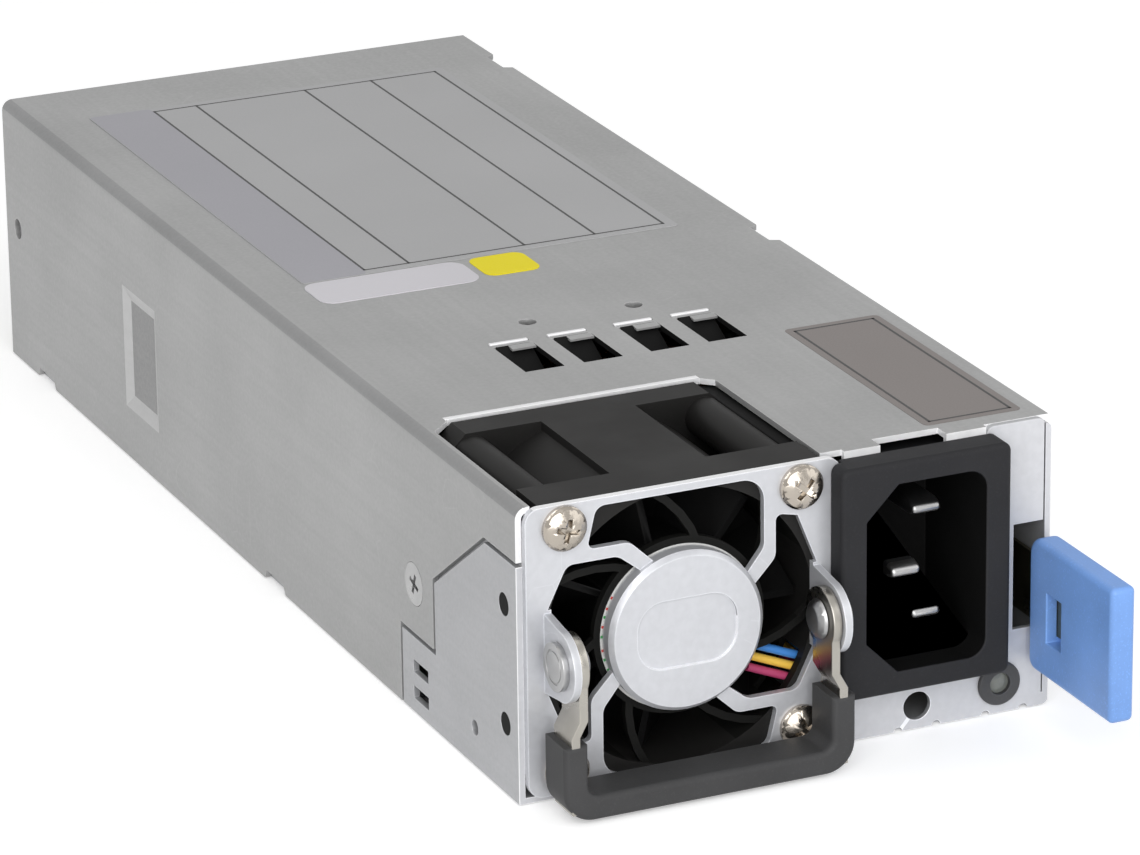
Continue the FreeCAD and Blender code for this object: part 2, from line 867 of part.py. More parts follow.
def edge_notches(edge, side):
    """Return the two locating notches on a long edge; side is the way to the open air."""
    notches = []
    for start in (S.notch_front_place, S.case_length - S.notch_rear_inset):
        inner = edge - side * S.notch_deep
        outer = edge + side * S.notch_deep
        notches.append([
            (outer, behind(start)),
            (outer, behind(start + S.notch_long)),
            (inner, behind(start + S.notch_long - S.notch_deep)),
            (inner, behind(start + S.notch_deep)),
        ])
    return notches


def flip(outline):
    """Swap the two coordinates of each corner of an outline."""
    return [(corner[1], corner[0]) + tuple(corner[2:]) for corner in outline]


def make_chassis():
    """Floor, right wall with its lip, left lip and wing, and the front panel."""
    body = new_body("chassis")
    profile = [
        (-LAP, 0),
        (HALF, 0),
        (HALF, TOP_IN - S.lap_gap),
        (HALF - S.lip_width, TOP_IN - S.lap_gap),
        (HALF - S.lip_width, TOP_IN - S.lap_gap - S.sheet_gauge),
        (WALL_IN, TOP_IN - S.lap_gap - S.sheet_gauge),
        (WALL_IN, S.sheet_gauge),
        (-LAP + S.sheet_gauge, S.sheet_gauge),
        (-LAP + S.sheet_gauge, S.lip_height),
        (-LAP, S.lip_height),
    ]
    pad(body, "shell", "XZ", FRONT, S.case_length, [profile])
    left = BEZEL_LEFT - S.bezel_gap / 2
    step = WALL_IN - S.panel_flange_wide
    panel_high = S.case_height - S.lap_gap
    panel = [
        (left, 0),
        (WALL_IN, 0),
        (WALL_IN, panel_high, S.panel_corner),
        (step, panel_high, S.panel_corner),
        (step, PANEL_TOP),
        (left, PANEL_TOP),
    ]
    pad(body, "front_panel", "XZ", FRONT, S.sheet_gauge, [panel])
    wing_high = S.wing_tab_top + S.lip_height
    wing = [
        (FRONT, 0),
        (behind(S.leaf_rear), 0),
        (behind(S.leaf_rear), wing_high),
        (behind(S.wing_deep), wing_high),
        (behind(S.wing_slope_front), TOP_IN - S.bend_outer),
        (FRONT, TOP_IN - S.bend_outer),
    ]
    pad(body, "wing", "YZ", -LAP, S.sheet_gauge, [wing])
    pad(body, "wing_face", "YZ", -HALF, HALF - LAP, [wing_outline(S.wing_emboss_gap)])
    pocket(body, "wing_hollow", "YZ", -LAP + S.sheet_gauge, S.sheet_gauge,
           [wing_outline(S.wing_emboss_gap + S.sheet_gauge, S.sheet_gauge)], forward=False)
    cut_panel_openings(body)
    cut_wing_openings(body)
    dress_edges(body, "floor_bend", "Fillet", S.bend_inner, parallel_edges("y", x=[HALF], z=[0]))
    dress_edges(body, "lip_bend", "Fillet", S.bend_inner,
                parallel_edges("y", x=[HALF], z=[TOP_IN - S.lap_gap]))
    return body


def cut_panel_openings(body):
    """Cut the inlet, latch, lamp and locating openings of the front panel."""
    inlet = [
        (BEZEL_LEFT + S.inlet_body_inset, BEZEL_LOW + S.inlet_body_inset),
        (BEZEL_RIGHT - S.inlet_body_inset, BEZEL_LOW + S.inlet_body_inset),
        (BEZEL_RIGHT - S.inlet_body_inset, PANEL_TOP + S.sheet_gauge),
        (BEZEL_LEFT + S.inlet_body_inset, PANEL_TOP + S.sheet_gauge),
    ]
    mouth = box_outline(WALL_IN - S.latch_mouth_wide, WALL_IN, S.latch_mouth_low,
                        S.latch_mouth_low + S.latch_mouth_tall)
    pocket(body, "panel_openings", "XZ", FRONT, S.sheet_gauge, [inlet, mouth])
    seam = box_outline(WALL_IN - S.panel_seam, WALL_IN, S.panel_seam_low, S.case_height)
    pocket(body, "panel_seam", "XZ", FRONT, S.sheet_gauge, [seam])
    pocket(body, "panel_holes", "XZ", FRONT, S.sheet_gauge,
           rings=[(INLET_X + S.panel_hole_shift, S.panel_hole_height, S.panel_hole_radius),
                  (LAMP_X, LAMP_Z, LAMP_NECK)])
    reliefs = []
    for copy in range(2):
        start = S.relief_left + copy * S.relief_pitch
        reliefs += [(start, 0, S.relief_radius), (start + S.relief_span, 0, S.relief_radius)]
    pocket(body, "panel_reliefs", "XZ", FRONT, S.sheet_gauge, rings=reliefs)


def cut_wing_openings(body):
    """Cut the holes and lances of the left wing and the latch openings of the right wall."""
    through = 2 * S.sheet_gauge
    pocket(body, "wing_holes", "YZ", -HALF, through, rings=[
        (behind(S.wing_hole_place), S.wing_hole_low, S.wing_hole_radius),
        (behind(S.wing_hole_place), WING_HOLE_HIGH, S.wing_hole_radius),
        (behind(S.wing_small_place), S.wing_small_height, S.wing_small_radius),
    ])
    pocket(body, "wing_lances", "YZ", -HALF, through, [
        box_outline(behind(S.lance_place), behind(S.lance_place + S.lance_long), low, low + S.lance_tall)
        for low in (S.lance_low, S.lance_high)])
    pocket(body, "cover_screw_hole", "YZ", -LAP, S.sheet_gauge,
           rings=[(behind(S.cover_screw_place), S.cover_screw_height,
                   S.cover_screw_head - S.sheet_gauge)])
    reach = S.catch_long / 2 + S.catch_room
    window = box_outline(behind(S.catch_place - reach), behind(S.catch_place + reach),
                         LEAF_Z - S.catch_tall / 2 - S.catch_room,
                         LEAF_Z + S.catch_tall / 2 + S.catch_room)
    pocket(body, "catch_window", "YZ", HALF, S.sheet_gauge, [window], forward=False)
    pocket(body, "latch_rivet_holes", "YZ", HALF, S.sheet_gauge,
           rings=[(behind(S.latch_pivot_place), height, S.rivet_radius)
                  for height in LATCH_RIVET_HEIGHTS], forward=False)


def make_cover():
    """Top and left wall in one bent sheet, with its openings, louvres and front lip."""
    body = new_body("top_cover")
    profile = [
        (-HALF, 0),
        (-WALL_IN, 0),
        (-WALL_IN, TOP_IN),
        (HALF, TOP_IN),
        (HALF, S.case_height),
        (-HALF, S.case_height),
    ]
    pad(body, "shell", "XZ", FRONT, S.case_length, [profile])
    pad(body, "front_lip", "XZ", FRONT, S.sheet_gauge,
        [box_outline(BEZEL_LEFT + S.lip_start, WALL_IN - S.panel_flange_wide - S.lap_gap,
                     S.case_height - S.cover_lip_drop, TOP_IN)])
    dress_edges(body, "long_bend", "Fillet", S.bend_outer,
                parallel_edges("y", x=[-HALF], z=[S.case_height]))
    dress_edges(body, "long_bend_inside", "Fillet", S.bend_inner,
                parallel_edges("y", x=[-WALL_IN], z=[TOP_IN]))
    window_left = FAN_X - FAN_HALF - S.window_margin
    window_right = FAN_X + FAN_HALF + S.window_margin / 2
    window_rear = behind(S.window_deep)
    fan_window = [
        (window_left, FRONT),
        (window_right, FRONT),
        (window_right, window_rear - S.window_corner / 2),
        (window_right - S.window_corner / 2, window_rear),
        (window_left + S.window_corner, window_rear),
        (window_left, window_rear - S.window_corner),
    ]
    panel_recess = box_outline(WALL_IN - S.panel_flange_wide - S.lap_gap, HALF, FRONT,
                               behind(S.sheet_gauge + S.lap_gap))
    slot = box_outline(BEZEL_LEFT + S.lip_slot_start,
                       BEZEL_LEFT + S.lip_slot_start + S.lip_slot_wide, FRONT,
                       behind(S.lip_slot_deep))
    front_band = box_outline(window_right, BEZEL_LEFT + S.lip_start, FRONT,
                             behind(S.sheet_gauge))
    pocket(body, "top_openings", "XY", S.case_height, S.cover_lip_drop,
           [fan_window, panel_recess, slot, front_band], forward=False)
    pocket(body, "top_notches", "XY", S.case_height, S.sheet_gauge, edge_notches(HALF, 1),
           forward=False)
    pocket(body, "wing_opening", "YZ", -HALF, S.sheet_gauge, [wing_outline(0)])
    pocket(body, "left_notches", "YZ", -HALF, S.sheet_gauge,
           [flip(notch) for notch in edge_notches(as_size(0), -1)])
    add_louvres(body)
    add_dent(body)
    pocket(body, "side_holes", "YZ", -HALF, S.sheet_gauge, rings=[
        (REAR - S.rear_hole_inset, S.rear_hole_height, S.rear_hole_radius),
        (behind(S.cover_screw_place), S.cover_screw_height, S.cover_screw_head + S.head_gap),
    ])
    return body


def louvre_columns():
    """Return the X places of the left edges of the four louvres."""
    middles = [-S.louvre_outer, -S.louvre_inner, S.louvre_inner, S.louvre_outer]
    return [middle - S.louvre_wide / 2 for middle in middles]


def add_louvres(body):
    """Cut the louvre windows and bend a tongue down from the rear edge of each."""
    rear = behind(S.louvre_place + S.louvre_long)
    for number, left in enumerate(louvre_columns(), start=1):
        window = box_outline(left, left + S.louvre_wide, behind(S.louvre_place), rear)
        slit = box_outline(left, left + S.louvre_wide, rear + S.sheet_gauge,
                           rear + S.sheet_gauge + S.slit_wide)
        pocket(body, "louvre_window_%d" % number, "XY", S.case_height, S.sheet_gauge,
               [window, slit], forward=False)
    vents = [(side * S.vent_hole_side, behind(S.vent_hole_place), S.vent_hole_radius)
             for side in (-1, 1)]
    pocket(body, "vent_holes", "XY", S.case_height, S.sheet_gauge, rings=vents, forward=False)
    low = S.case_height - S.louvre_drop
    tongue = [
        (rear, TOP_IN),
        (rear, S.case_height),
        (behind(S.louvre_place + S.louvre_long / 3), low),
        (behind(S.louvre_place + S.louvre_long / 3), low - S.sheet_gauge),
    ]
    for number, left in enumerate(louvre_columns(), start=1):
        pad(body, "louvre_tongue_%d" % number, "YZ", left + S.slit_wide / 2,
            S.louvre_wide - S.slit_wide, [tongue])


def add_dent(body):
    """Press the rectangular dent with sloping sides into the left wall."""
    middle = behind(S.dent_place)
    outer = box_outline(middle - S.dent_long / 2, middle + S.dent_long / 2, S.dent_low,
                        S.dent_low + S.dent_tall)
    inner = box_outline(middle - S.dent_long / 2 + S.dent_slope,
                        middle + S.dent_long / 2 - S.dent_slope,
                        S.dent_low + S.dent_slope, S.dent_low + S.dent_tall - S.dent_slope)
    for kind, name, place_x in (("AdditiveLoft", "dent_back", -WALL_IN),
                                ("SubtractiveLoft", "dent_face", -HALF)):
        rim = new_sketch(body, name + "_rim", "YZ", place_x, [outer])
        floor = new_sketch(body, name + "_floor", "YZ", place_x + S.dent_deep, [inner])
        loft = body.newObject("PartDesign::" + kind, name)
        loft.Profile = rim
        loft.Sections = [floor]
        loft.Ruled = True


def make_rear_panel():
    """Rear wall with its vent slots, the opening for the board's tongue and side flanges."""
    body = new_body("rear_panel")
    low = S.sheet_gauge
    high = TOP_IN - S.lap_gap - S.sheet_gauge
    right = WALL_IN
    left = -WALL_IN
    pad(body, "plate", "XZ", REAR_FACE, S.sheet_gauge, [[
        (-LAP + S.sheet_gauge + S.lap_gap, low),
        (right, low),
        (right, high),
        (left, high),
        (left, S.lip_height + S.lap_gap),
        (-LAP + S.sheet_gauge + S.lap_gap, S.lip_height + S.lap_gap),
    ]])
    for name, start in (("left_flange", left), ("right_flange", right - S.sheet_gauge)):
        pad(body, name, "YZ", start, S.sheet_gauge,
            [box_outline(REAR_FACE - S.rear_flange, REAR_FACE, low + S.lip_height, high)])
    opening = box_outline(-TONGUE_HALF - S.tongue_gap, TONGUE_HALF + S.tongue_gap,
                          S.board_height - S.tongue_gap, BOARD_TOP + S.tongue_gap)
    pocket(body, "tongue_opening", "XZ", REAR_FACE, S.sheet_gauge, [opening])
    pocket(body, "flange_hole", "YZ", left, S.sheet_gauge,
           rings=[(REAR - S.rear_hole_inset, S.rear_hole_height, S.rear_hole_radius)])
    columns = int((2 * BOARD_HALF.value - S.vent_slot_wide.value) // S.vent_slot_pitch.value)
    span = (columns - 1) * S.vent_slot_pitch
    slot_left = -span / 2 - S.vent_slot_wide / 2
    top_row = high - S.lip_height / 2 - S.vent_slot_tall
    low_row = top_row - S.vent_slot_tall - S.vent_slot_wide
    slots = pocket(body, "vent_slots", "XZ", REAR_FACE, S.sheet_gauge, [
        box_outline(slot_left, slot_left + S.vent_slot_wide, row, row + S.vent_slot_tall)
        for row in (low_row, top_row)])
    linear_copies(body, "vent_rows", [slots], "X_Axis", span, columns)
    return body


def make_cover_screw():
    """Countersunk screw that holds the cover's tab to the wing."""
    body = new_body("cover_screw", -HALF, behind(S.cover_screw_place), S.cover_screw_height)
    cone = S.cover_screw_head - S.cover_screw_radius
    turn(body, "countersunk", [
        (0, 0),
        (0, S.cover_screw_head),
        (cone, S.cover_screw_radius),
        (S.fan_side_gap - S.cover_screw_end_gap, S.cover_screw_radius),
        (S.fan_side_gap - S.cover_screw_end_gap, 0),
    ], axis="H_Axis")
    return body


# ---------------------------------------------------------------------------------
# fan guard
# ---------------------------------------------------------------------------------
def make_guard():
    """Front plate with four openings between bent spokes, hub, handle ears and side flange."""
    body = new_body("fan_guard", FAN_X, FRONT, FAN_Z)
    left = -LAP - FAN_X
    right = BEZEL_LEFT + S.guard_tuck - FAN_X
    plate = box_outline(left, right, -FAN_HALF, FAN_HALF, S.guard_corner)
    pad(body, "plate", "XZ", -S.guard_gauge, S.guard_gauge, [plate],
        [(u, v, S.screw_radius + S.hole_gap) for u, v in square_spots(FAN_HOLE)])
    pocket(body, "openings", "XZ", -S.guard_gauge, S.guard_gauge,
           [turned(outline, quarter) for quarter, outline in enumerate(
               (upright_opening(), side_opening(), upright_opening(), side_opening()))])
    round_openings(body)
    front = -S.guard_gauge - S.guard_hub_rise
    edge = S.guard_hub_edge
    inner = S.guard_hub_radius - S.guard_gauge
    turn(body, "hub", [
        (0, front),
        (S.guard_hub_radius - edge, front),
        (S.guard_hub_radius, front + edge),
        (S.guard_hub_radius, 0),
        (inner, 0),
        (inner, -S.guard_gauge),
        (0, -S.guard_gauge),
    ])
    pocket(body, "hub_hollow", "XZ", -S.guard_gauge, S.guard_gauge, rings=[(0, 0, inner)])
    panel = box_outline(-S.guard_panel_wide / 2, S.guard_panel_wide / 2,
                        -S.guard_panel_tall / 2, S.guard_panel_tall / 2, S.guard_panel_corner)
    pocket(body, "hub_panel", "XZ", front, S.guard_panel_deep, [panel])
    add_ears(body)
    add_guard_flange(body, left)
    return body


def square_spots(half):
    """Return the four corners of a square about the origin."""
    return [(u * half, v * half) for u, v in ((1, 1), (-1, 1), (-1, -1), (1, -1))]


def turned(outline, quarters):
    """Turn an outline about the origin by a number of quarter turns to the left."""
    for _ in range(quarters):
        outline = [(-as_size(v), u) for u, v in outline]
    return outline


def spoke_root(angle):
    """Return the point on the hub's rim at this angle, in degrees."""
    return (S.guard_hub_radius * math.cos(math.radians(angle)),
            S.guard_hub_radius * math.sin(math.radians(angle)))


def opening_side():
    """Return the spoke sides of one opening: up the right one, and down the left one."""
    inner = FAN_HALF - S.spoke_inset
    outer = inner + S.spoke_wide
    high = S.spoke_bend + S.spoke_wide / 2
    low = S.spoke_bend - S.spoke_wide / 2
    root = spoke_root(SPOKE_ROOT_LOW)
    right = [spoke_root(SPOKE_ROOT_HIGH), (inner, high)]
    left = [(S.opening_lug_inset - FAN_HALF, outer), (-low, outer), (-root[1], root[0])]
    return right, left


def upright_opening():
    """Return the opening above the hub, with its full corners."""
    right, left = opening_side()
    far = FAN_HALF - S.guard_rim
    return right + [
        (FAN_HALF - S.spoke_inset, far),
        (S.opening_lug_inset + S.opening_lug_slope - FAN_HALF, far),
    ] + left


def side_opening():
    """Return the opening beside an ear, drawn in towards it, with its bend reliefs."""
    right, left = opening_side()
    slope_end = FAN_HALF - S.guard_rim - S.opening_ear_drop
    base = EAR_HALF - S.ear_gauge
    relief = S.ear_base_half + S.ear_relief_wide
    return right + [
        (FAN_HALF - S.spoke_inset, slope_end),
        (relief, base + S.ear_relief_out),
        (relief, base),
        (-relief, base),
        (-relief, base + S.ear_relief_out),
        (S.opening_lug_inset + S.opening_lug_slope / 2 - FAN_HALF, slope_end),
    ] + left


def round_openings(body):
    """Round the corners of the four openings, each kind with its own radius."""
    far = FAN_HALF - S.guard_rim
    inner = FAN_HALF - S.spoke_inset
    outer = inner + S.spoke_wide
    corners = [
        ("far_corners", S.opening_far_corner, (inner, far), (0, 2)),
        ("near_corners", S.opening_near_corner,
         (S.opening_lug_inset + S.opening_lug_slope - FAN_HALF, far), (0, 2)),
        ("ear_side_corners", S.opening_near_corner, (inner, far - S.opening_ear_drop), (1, 3)),
        ("lug_corners", S.opening_lug_corner, (S.opening_lug_inset - FAN_HALF, outer), range(4)),
        ("spoke_bends", S.spoke_bend_round, (inner, S.spoke_bend + S.spoke_wide / 2), range(4)),
        ("spoke_backs", S.spoke_bend_round, (S.spoke_wide / 2 - S.spoke_bend, outer), range(4)),
    ]
    for name, radius, corner, quarters in corners:
        spots = [turned([corner], quarter)[0] for quarter in quarters]
        dress_edges(body, name, "Fillet", radius, edges_through(spots))


def edges_through(spots):
    """Return a test for edges along Y that pass through one of the u, v spots."""
    goals = [(as_size(u).value, as_size(v).value) for u, v in spots]

    def test(edge):
        box = edge.BoundBox
        return any(abs(box.XMin - u) + abs(box.XMax - u) + abs(box.ZMin - v) + abs(box.ZMax - v)
                   < EDGE_MATCH for u, v in goals)

    return test


def add_ears(body):
    """Add the two ears that carry the handle's pivots."""
    pivot = -S.guard_gauge - S.pivot_out
    shape = [
        (0, -S.ear_base_half),
        (0, S.ear_base_half),
        (-S.guard_gauge, S.ear_base_half),
        (pivot, S.ear_radius),
        (pivot, -S.ear_radius),
        (-S.guard_gauge, -S.ear_base_half),
    ]
    for side, start in (("left", -EAR_HALF), ("right", EAR_HALF - S.ear_gauge)):
        pad(body, side + "_ear", "YZ", start, S.ear_gauge, [shape])
        pad(body, side + "_ear_end", "YZ", start, S.ear_gauge,
            rings=[(pivot, 0, S.ear_radius)])
        pocket(body, side + "_ear_hole", "YZ", start, S.ear_gauge,
               rings=[(pivot, 0, S.rivet_radius + S.running_gap)])


def add_guard_flange(body, left):
    """Add the flange inside the wing, with the two pins that locate it."""
    low = S.guard_flange_low - FAN_Z
    high = WING_TOP - S.guard_flange_drop - FAN_Z
    pad(body, "flange", "YZ", left, S.sheet_gauge,
        [box_outline(-S.guard_gauge, S.guard_flange_long, low, high)])
    pins = [(S.wing_hole_place, height - FAN_Z, S.wing_hole_radius - S.hole_gap)
            for height in (S.wing_hole_low, WING_HOLE_HIGH)]
    pad(body, "flange_pins", "YZ", left - S.sheet_gauge, S.sheet_gauge, rings=pins)


def make_pan_screws(name, spots, y, head_radius, head_tall, dome, radius, length):
    """Pan-head screws along Y with their heads in front, all in one node."""
    screws = []
    for number, (x, z) in enumerate(spots, start=1):
        body = new_body("%s_%d" % (name, number), x, y, z)
        turn(body, "shape_%s_%d" % (name, number), [
            (0, -head_tall),
            *((head_radius * out, -head_tall + dome * down) for out, down in DOME),
            (head_radius, 0),
            (radius, 0),
            (radius, length),
            (0, length),
        ])
        screws.append(body)
    return group(name, screws)


# ---------------------------------------------------------------------------------
# fan
# ---------------------------------------------------------------------------------
def make_fan_frame():
    """Square frame with two flanges, barrel, corner bosses, struts and the bearing tube."""
    body = new_body("fan_frame", FAN_X, FRONT, FAN_Z)
    square = box_outline(-FAN_HALF, FAN_HALF, -FAN_HALF, FAN_HALF)
    rear_start = S.fan_depth - S.fan_flange
    waist = rear_start - S.fan_front_flange
    cut_corner = S.fan_rear_cut
    rear_square = []
    for u, v in ((1, 1), (-1, 1), (-1, -1), (1, -1)):
        side = (u * FAN_HALF, v * (FAN_HALF - cut_corner))
        top = (u * (FAN_HALF - cut_corner), v * FAN_HALF)
        rear_square += [side, top] if u * v > 0 else [top, side]
    pad(body, "front_flange", "XZ", 0, S.fan_front_flange, [square])
    pad(body, "barrel", "XZ", 0, S.fan_depth, rings=[(0, 0, FAN_BARREL)])
    pad(body, "rear_flange", "XZ", rear_start, S.fan_flange, [rear_square])
    for name, wide, tall in (("upright_flats", S.fan_flat_half, FAN_HALF),
                             ("level_flats", FAN_HALF, S.fan_flat_half)):
        pad(body, name, "XZ", S.fan_front_flange, waist, [box_outline(-wide, wide, -tall, tall)])
    pad(body, "corner_bosses", "XZ", S.fan_front_flange, waist,
        rings=[(u, v, S.fan_boss_radius) for u, v in square_spots(FAN_HOLE)])
    pocket(body, "bore", "XZ", 0, S.fan_depth, rings=[(0, 0, FAN_BORE)])
    pocket(body, "screw_holes", "XZ", 0, S.fan_depth,
           rings=[(u, v, S.fan_hole_radius) for u, v in square_spots(FAN_HOLE)])
    strut = pad(body, "strut", "XZ", S.fan_hub_place, S.strut_deep, [strut_outline()])
    polar_copies(body, "struts", [strut], "Y_Axis", S.strut_count)
    hub_rear = S.fan_hub_place + S.fan_hub_gauge
    tube_bore = S.bearing_radius + S.running_gap
    turn(body, "hub", [
        (0, S.fan_hub_place),
        (S.fan_hub_radius, S.fan_hub_place),
        (S.fan_hub_radius, hub_rear),
        (S.tube_radius, hub_rear),
        (S.tube_radius, hub_rear + S.tube_long),
        (tube_bore, hub_rear + S.tube_long),
        (tube_bore, hub_rear),
        (0, hub_rear),
    ])
    notch = box_outline(S.fan_hub_place + S.strut_deep, S.fan_front_flange, -S.wire_notch_drop,
                        S.wire_notch_tall - S.wire_notch_drop)
    pocket(body, "wire_notch", "YZ", FAN_HALF - S.wire_notch_inset, S.wire_notch_inset, [notch])
    return body


def strut_outline():
    """Return one strut, swept from the hub out to the barrel."""
    inner = S.fan_hub_radius - S.strut_wide
    outer = FAN_BORE + S.fan_barrel_wall / 2
    half = S.strut_wide / 2
    sides = ([], [])
    for step in range(STRUT_STEPS + 1):
        share = step / STRUT_STEPS
        radius = inner * (1 - share) + outer * share
        angle = math.radians(STRUT_START + STRUT_SWEEP * share)
        lean = angle + math.radians(STRUT_LEAN)
        for side, sign in zip(sides, (1, -1)):
            side.append((radius * math.cos(angle) - half * (sign * math.sin(lean)),
                         radius * math.sin(angle) + half * (sign * math.cos(lean))))
    return sides[0] + sides[1][::-1]


def make_fan_rotor():
    """Cup open towards the hub, with its blades."""
    body = new_body("fan_rotor", FAN_X, FRONT + ROTOR_PLACE, FAN_Z)
    rear = S.rotor_long
    floor = rear - S.rotor_wall
    inner = S.rotor_hub_radius - S.rotor_wall
    bore = S.shaft_radius + S.running_gap
    turn(body, "cup", [
        (inner, 0),
        (S.rotor_hub_radius, 0),
        (S.rotor_hub_radius, rear),
        (bore, rear),
        (bore, floor - S.rotor_boss_long),
        (S.rotor_boss_radius, floor - S.rotor_boss_long),
        (S.rotor_boss_radius, floor),
        (inner, floor),
    ])
    sections = []
    for step in range(BLADE_STEPS + 1):
        share = step / BLADE_STEPS
        place_y = S.blade_inset * (1 - share) + (rear - S.blade_inset) * share
        sections.append(new_sketch(body, "blade_section_%d" % step, "XZ", place_y,
                                   [blade_outline(math.radians(BLADE_TWIST * share ** BLADE_BOW))]))
    blade = body.newObject("PartDesign::AdditiveLoft", "blade")
    blade.Profile = sections[0]
    blade.Sections = sections[1:]
    blade.Ruled = True
    polar_copies(body, "blades", [blade], "Y_Axis", S.blade_count)
    return body


def blade_outline(angle):
    """Return a thin bar from inside the cup's wall to the tip, turned to this angle."""
    root = S.rotor_hub_radius - S.rotor_wall / 2
    tip = FAN_BORE - S.blade_gap
    half = S.blade_thickness / 2
    corners = []
    for radius, side in ((root, -1), (tip, -1), (tip, 1), (root, 1)):
        corners.append((radius * math.cos(angle) - half * (side * math.sin(angle)),
                        radius * math.sin(angle) + half * (side * math.cos(angle))))
    return corners


def make_rotor_magnet():
    """Ring magnet inside the rotor's cup."""
    outer = S.rotor_hub_radius - S.rotor_wall - S.running_gap
    start = FRONT + ROTOR_PLACE + S.rotor_wall
    return cut("rotor_magnet",
               rod("magnet_ring", "Y", FAN_X, start, FAN_Z, outer, S.magnet_long),
               rod("magnet_bore", "Y", FAN_X, start, FAN_Z, outer - S.magnet_gauge, S.magnet_long))


def make_fan_shaft():
    """Shaft that turns with the rotor."""
    start = FRONT + S.fan_hub_place + S.fan_hub_gauge + S.shaft_end_gap
    end = FRONT + ROTOR_PLACE + S.rotor_long
    shaft = rod("fan_shaft", "Y", FAN_X, start, FAN_Z, S.shaft_radius, end - start)
    return shaft


def make_fan_bearings():
    """Two bearings at the ends of the tube."""
    tube = FRONT + S.fan_hub_place + S.fan_hub_gauge
    rings = []
    for name, start in (("front_bearing", tube + S.shaft_end_gap),
                        ("rear_bearing", tube + S.tube_long - S.bearing_long)):
        rings.append(cut(name,
                         rod(name + "_ring", "Y", FAN_X, start, FAN_Z, S.bearing_radius, S.bearing_long),
                         rod(name + "_bore", "Y", FAN_X, start, FAN_Z,
                             S.shaft_radius + S.running_gap, S.bearing_long)))
    return group("fan_bearings", rings)


def make_fan_stator():
    """Laminated core with four poles, on the bearing tube."""
    body = new_body("fan_stator", FAN_X, STATOR_PLACE, FAN_Z)
    inner = S.tube_radius + S.hole_gap
    ring = inner + S.stator_ring
    pad(body, "ring", "XZ", 0, S.stator_long, rings=[(0, 0, ring), (0, 0, inner)])
    start = ring - S.stator_ring / 2
    tip = S.stator_radius - S.pole_shoe_deep
    pole = pad(body, "pole", "XZ", 0, S.stator_long, [[
        (start, -S.pole_wide / 2),
        (tip, -S.pole_wide / 2),
        (tip, -S.pole_shoe_wide / 2),
        (S.stator_radius, -S.pole_wide),
        (S.stator_radius, S.pole_wide),
        (tip, S.pole_shoe_wide / 2),
        (tip, S.pole_wide / 2),
        (start, S.pole_wide / 2),
    ]])
    polar_copies(body, "poles", [pole], "Y_Axis", len(QUARTERS))
    return body


def make_fan_windings():
    """Four coils round the stator's poles."""
    ring = S.tube_radius + S.hole_gap + S.stator_ring
    start = ring + S.hole_gap
    end = S.stator_radius - S.pole_shoe_deep - S.hole_gap
    inner = S.pole_wide / 2 + S.hole_gap
    outer = inner + S.winding_thick / 2
    coils = []
    for number, (u, v) in enumerate(QUARTERS, start=1):
        body = new_body("fan_coil_%d" % number, FAN_X, STATOR_PLACE, FAN_Z)
        if u:
            loop = box_outline(*sorted_pair(u * start, u * end), -outer, outer)
            hole = box_outline(*sorted_pair(u * start, u * end), -inner, inner)
        else:
            loop = box_outline(-outer, outer, *sorted_pair(v * start, v * end))
            hole = box_outline(-inner, inner, *sorted_pair(v * start, v * end))
        pad(body, "coil_%d" % number, "XZ", -S.winding_thick, S.stator_long + 2 * S.winding_thick,
            [loop])
        pocket(body, "coil_hole_%d" % number, "XZ", -S.hole_gap, S.stator_long + 2 * S.hole_gap,
               [hole])
        coils.append(body)
    return group("fan_windings", coils)


def sorted_pair(first, second):
    """Return two sizes, the smaller one first."""
    return (first, second) if first.value < second.value else (second, first)


def cord(name, points, radius):
    """Add a wire along straight runs joined by tangent arcs."""
    spots = [Vector(*(as_size(value).value for value in point)) for point in points]
    edges = []
    start = spots[0]
    for before, corner, after in zip(spots, spots[1:], spots[2:]):
        inward = (corner - before).normalize()
        outward = (after - corner).normalize()
        reach = ARC_SHARE * min((corner - before).Length, (after - corner).Length)
        enter = corner - inward * reach
        leave = corner + outward * reach
        half_turn = inward.getAngle(outward) / 2
        inside = (outward - inward).normalize()
        radius_of_arc = reach / math.tan(half_turn)
        rise = radius_of_arc / math.cos(half_turn) - radius_of_arc
        middle = corner + inside * rise
        edges.append(Part.LineSegment(start, enter).toShape())
        edges.append(Part.Arc(enter, middle, leave).toShape())
        start = leave
    edges.append(Part.LineSegment(start, spots[-1]).toShape())
    ring = Part.Wire([Part.Circle(spots[0], spots[1] - spots[0], radius.value).toShape()])
    result = DOC.addObject("Part::Feature", name)
    result.Shape = Part.Wire(edges).makePipeShell([ring], True, False)
    return result


def make_fan_leads():
    """Three wires from behind the fan's hub, through the notch and back to the plug."""
    leads = []
    lane = FAN_X + FAN_HALF + S.bezel_gap
    depth = behind(S.fan_hub_place + S.strut_deep + S.fan_wire_gap + S.fan_wire_radius)
    board_rear = behind(S.filter_board_place + S.board_gauge + S.part_gap)
    end_height = PLUG_TOP - S.plug_tall / 3
    margin = (S.plug_wide - (LEAD_COUNT - 1) * S.plug_pitch) / 2
    for number in range(LEAD_COUNT):
        start = FAN_Z - S.fan_wire_drop - number * S.fan_wire_pitch
        height = start - S.fan_wire_fall
        column = lane + margin + number * S.plug_pitch
        leads.append(cord("fan_lead_%d" % (number + 1), [
            (FAN_X + S.fan_wire_start, depth, start),
            (lane, depth, height),
            (lane, board_rear, height),
            (column, behind(S.plug_place - S.plug_lead), end_height),
            (column, behind(S.plug_place), end_height),
        ], S.fan_wire_radius))
    return group("fan_leads", leads)


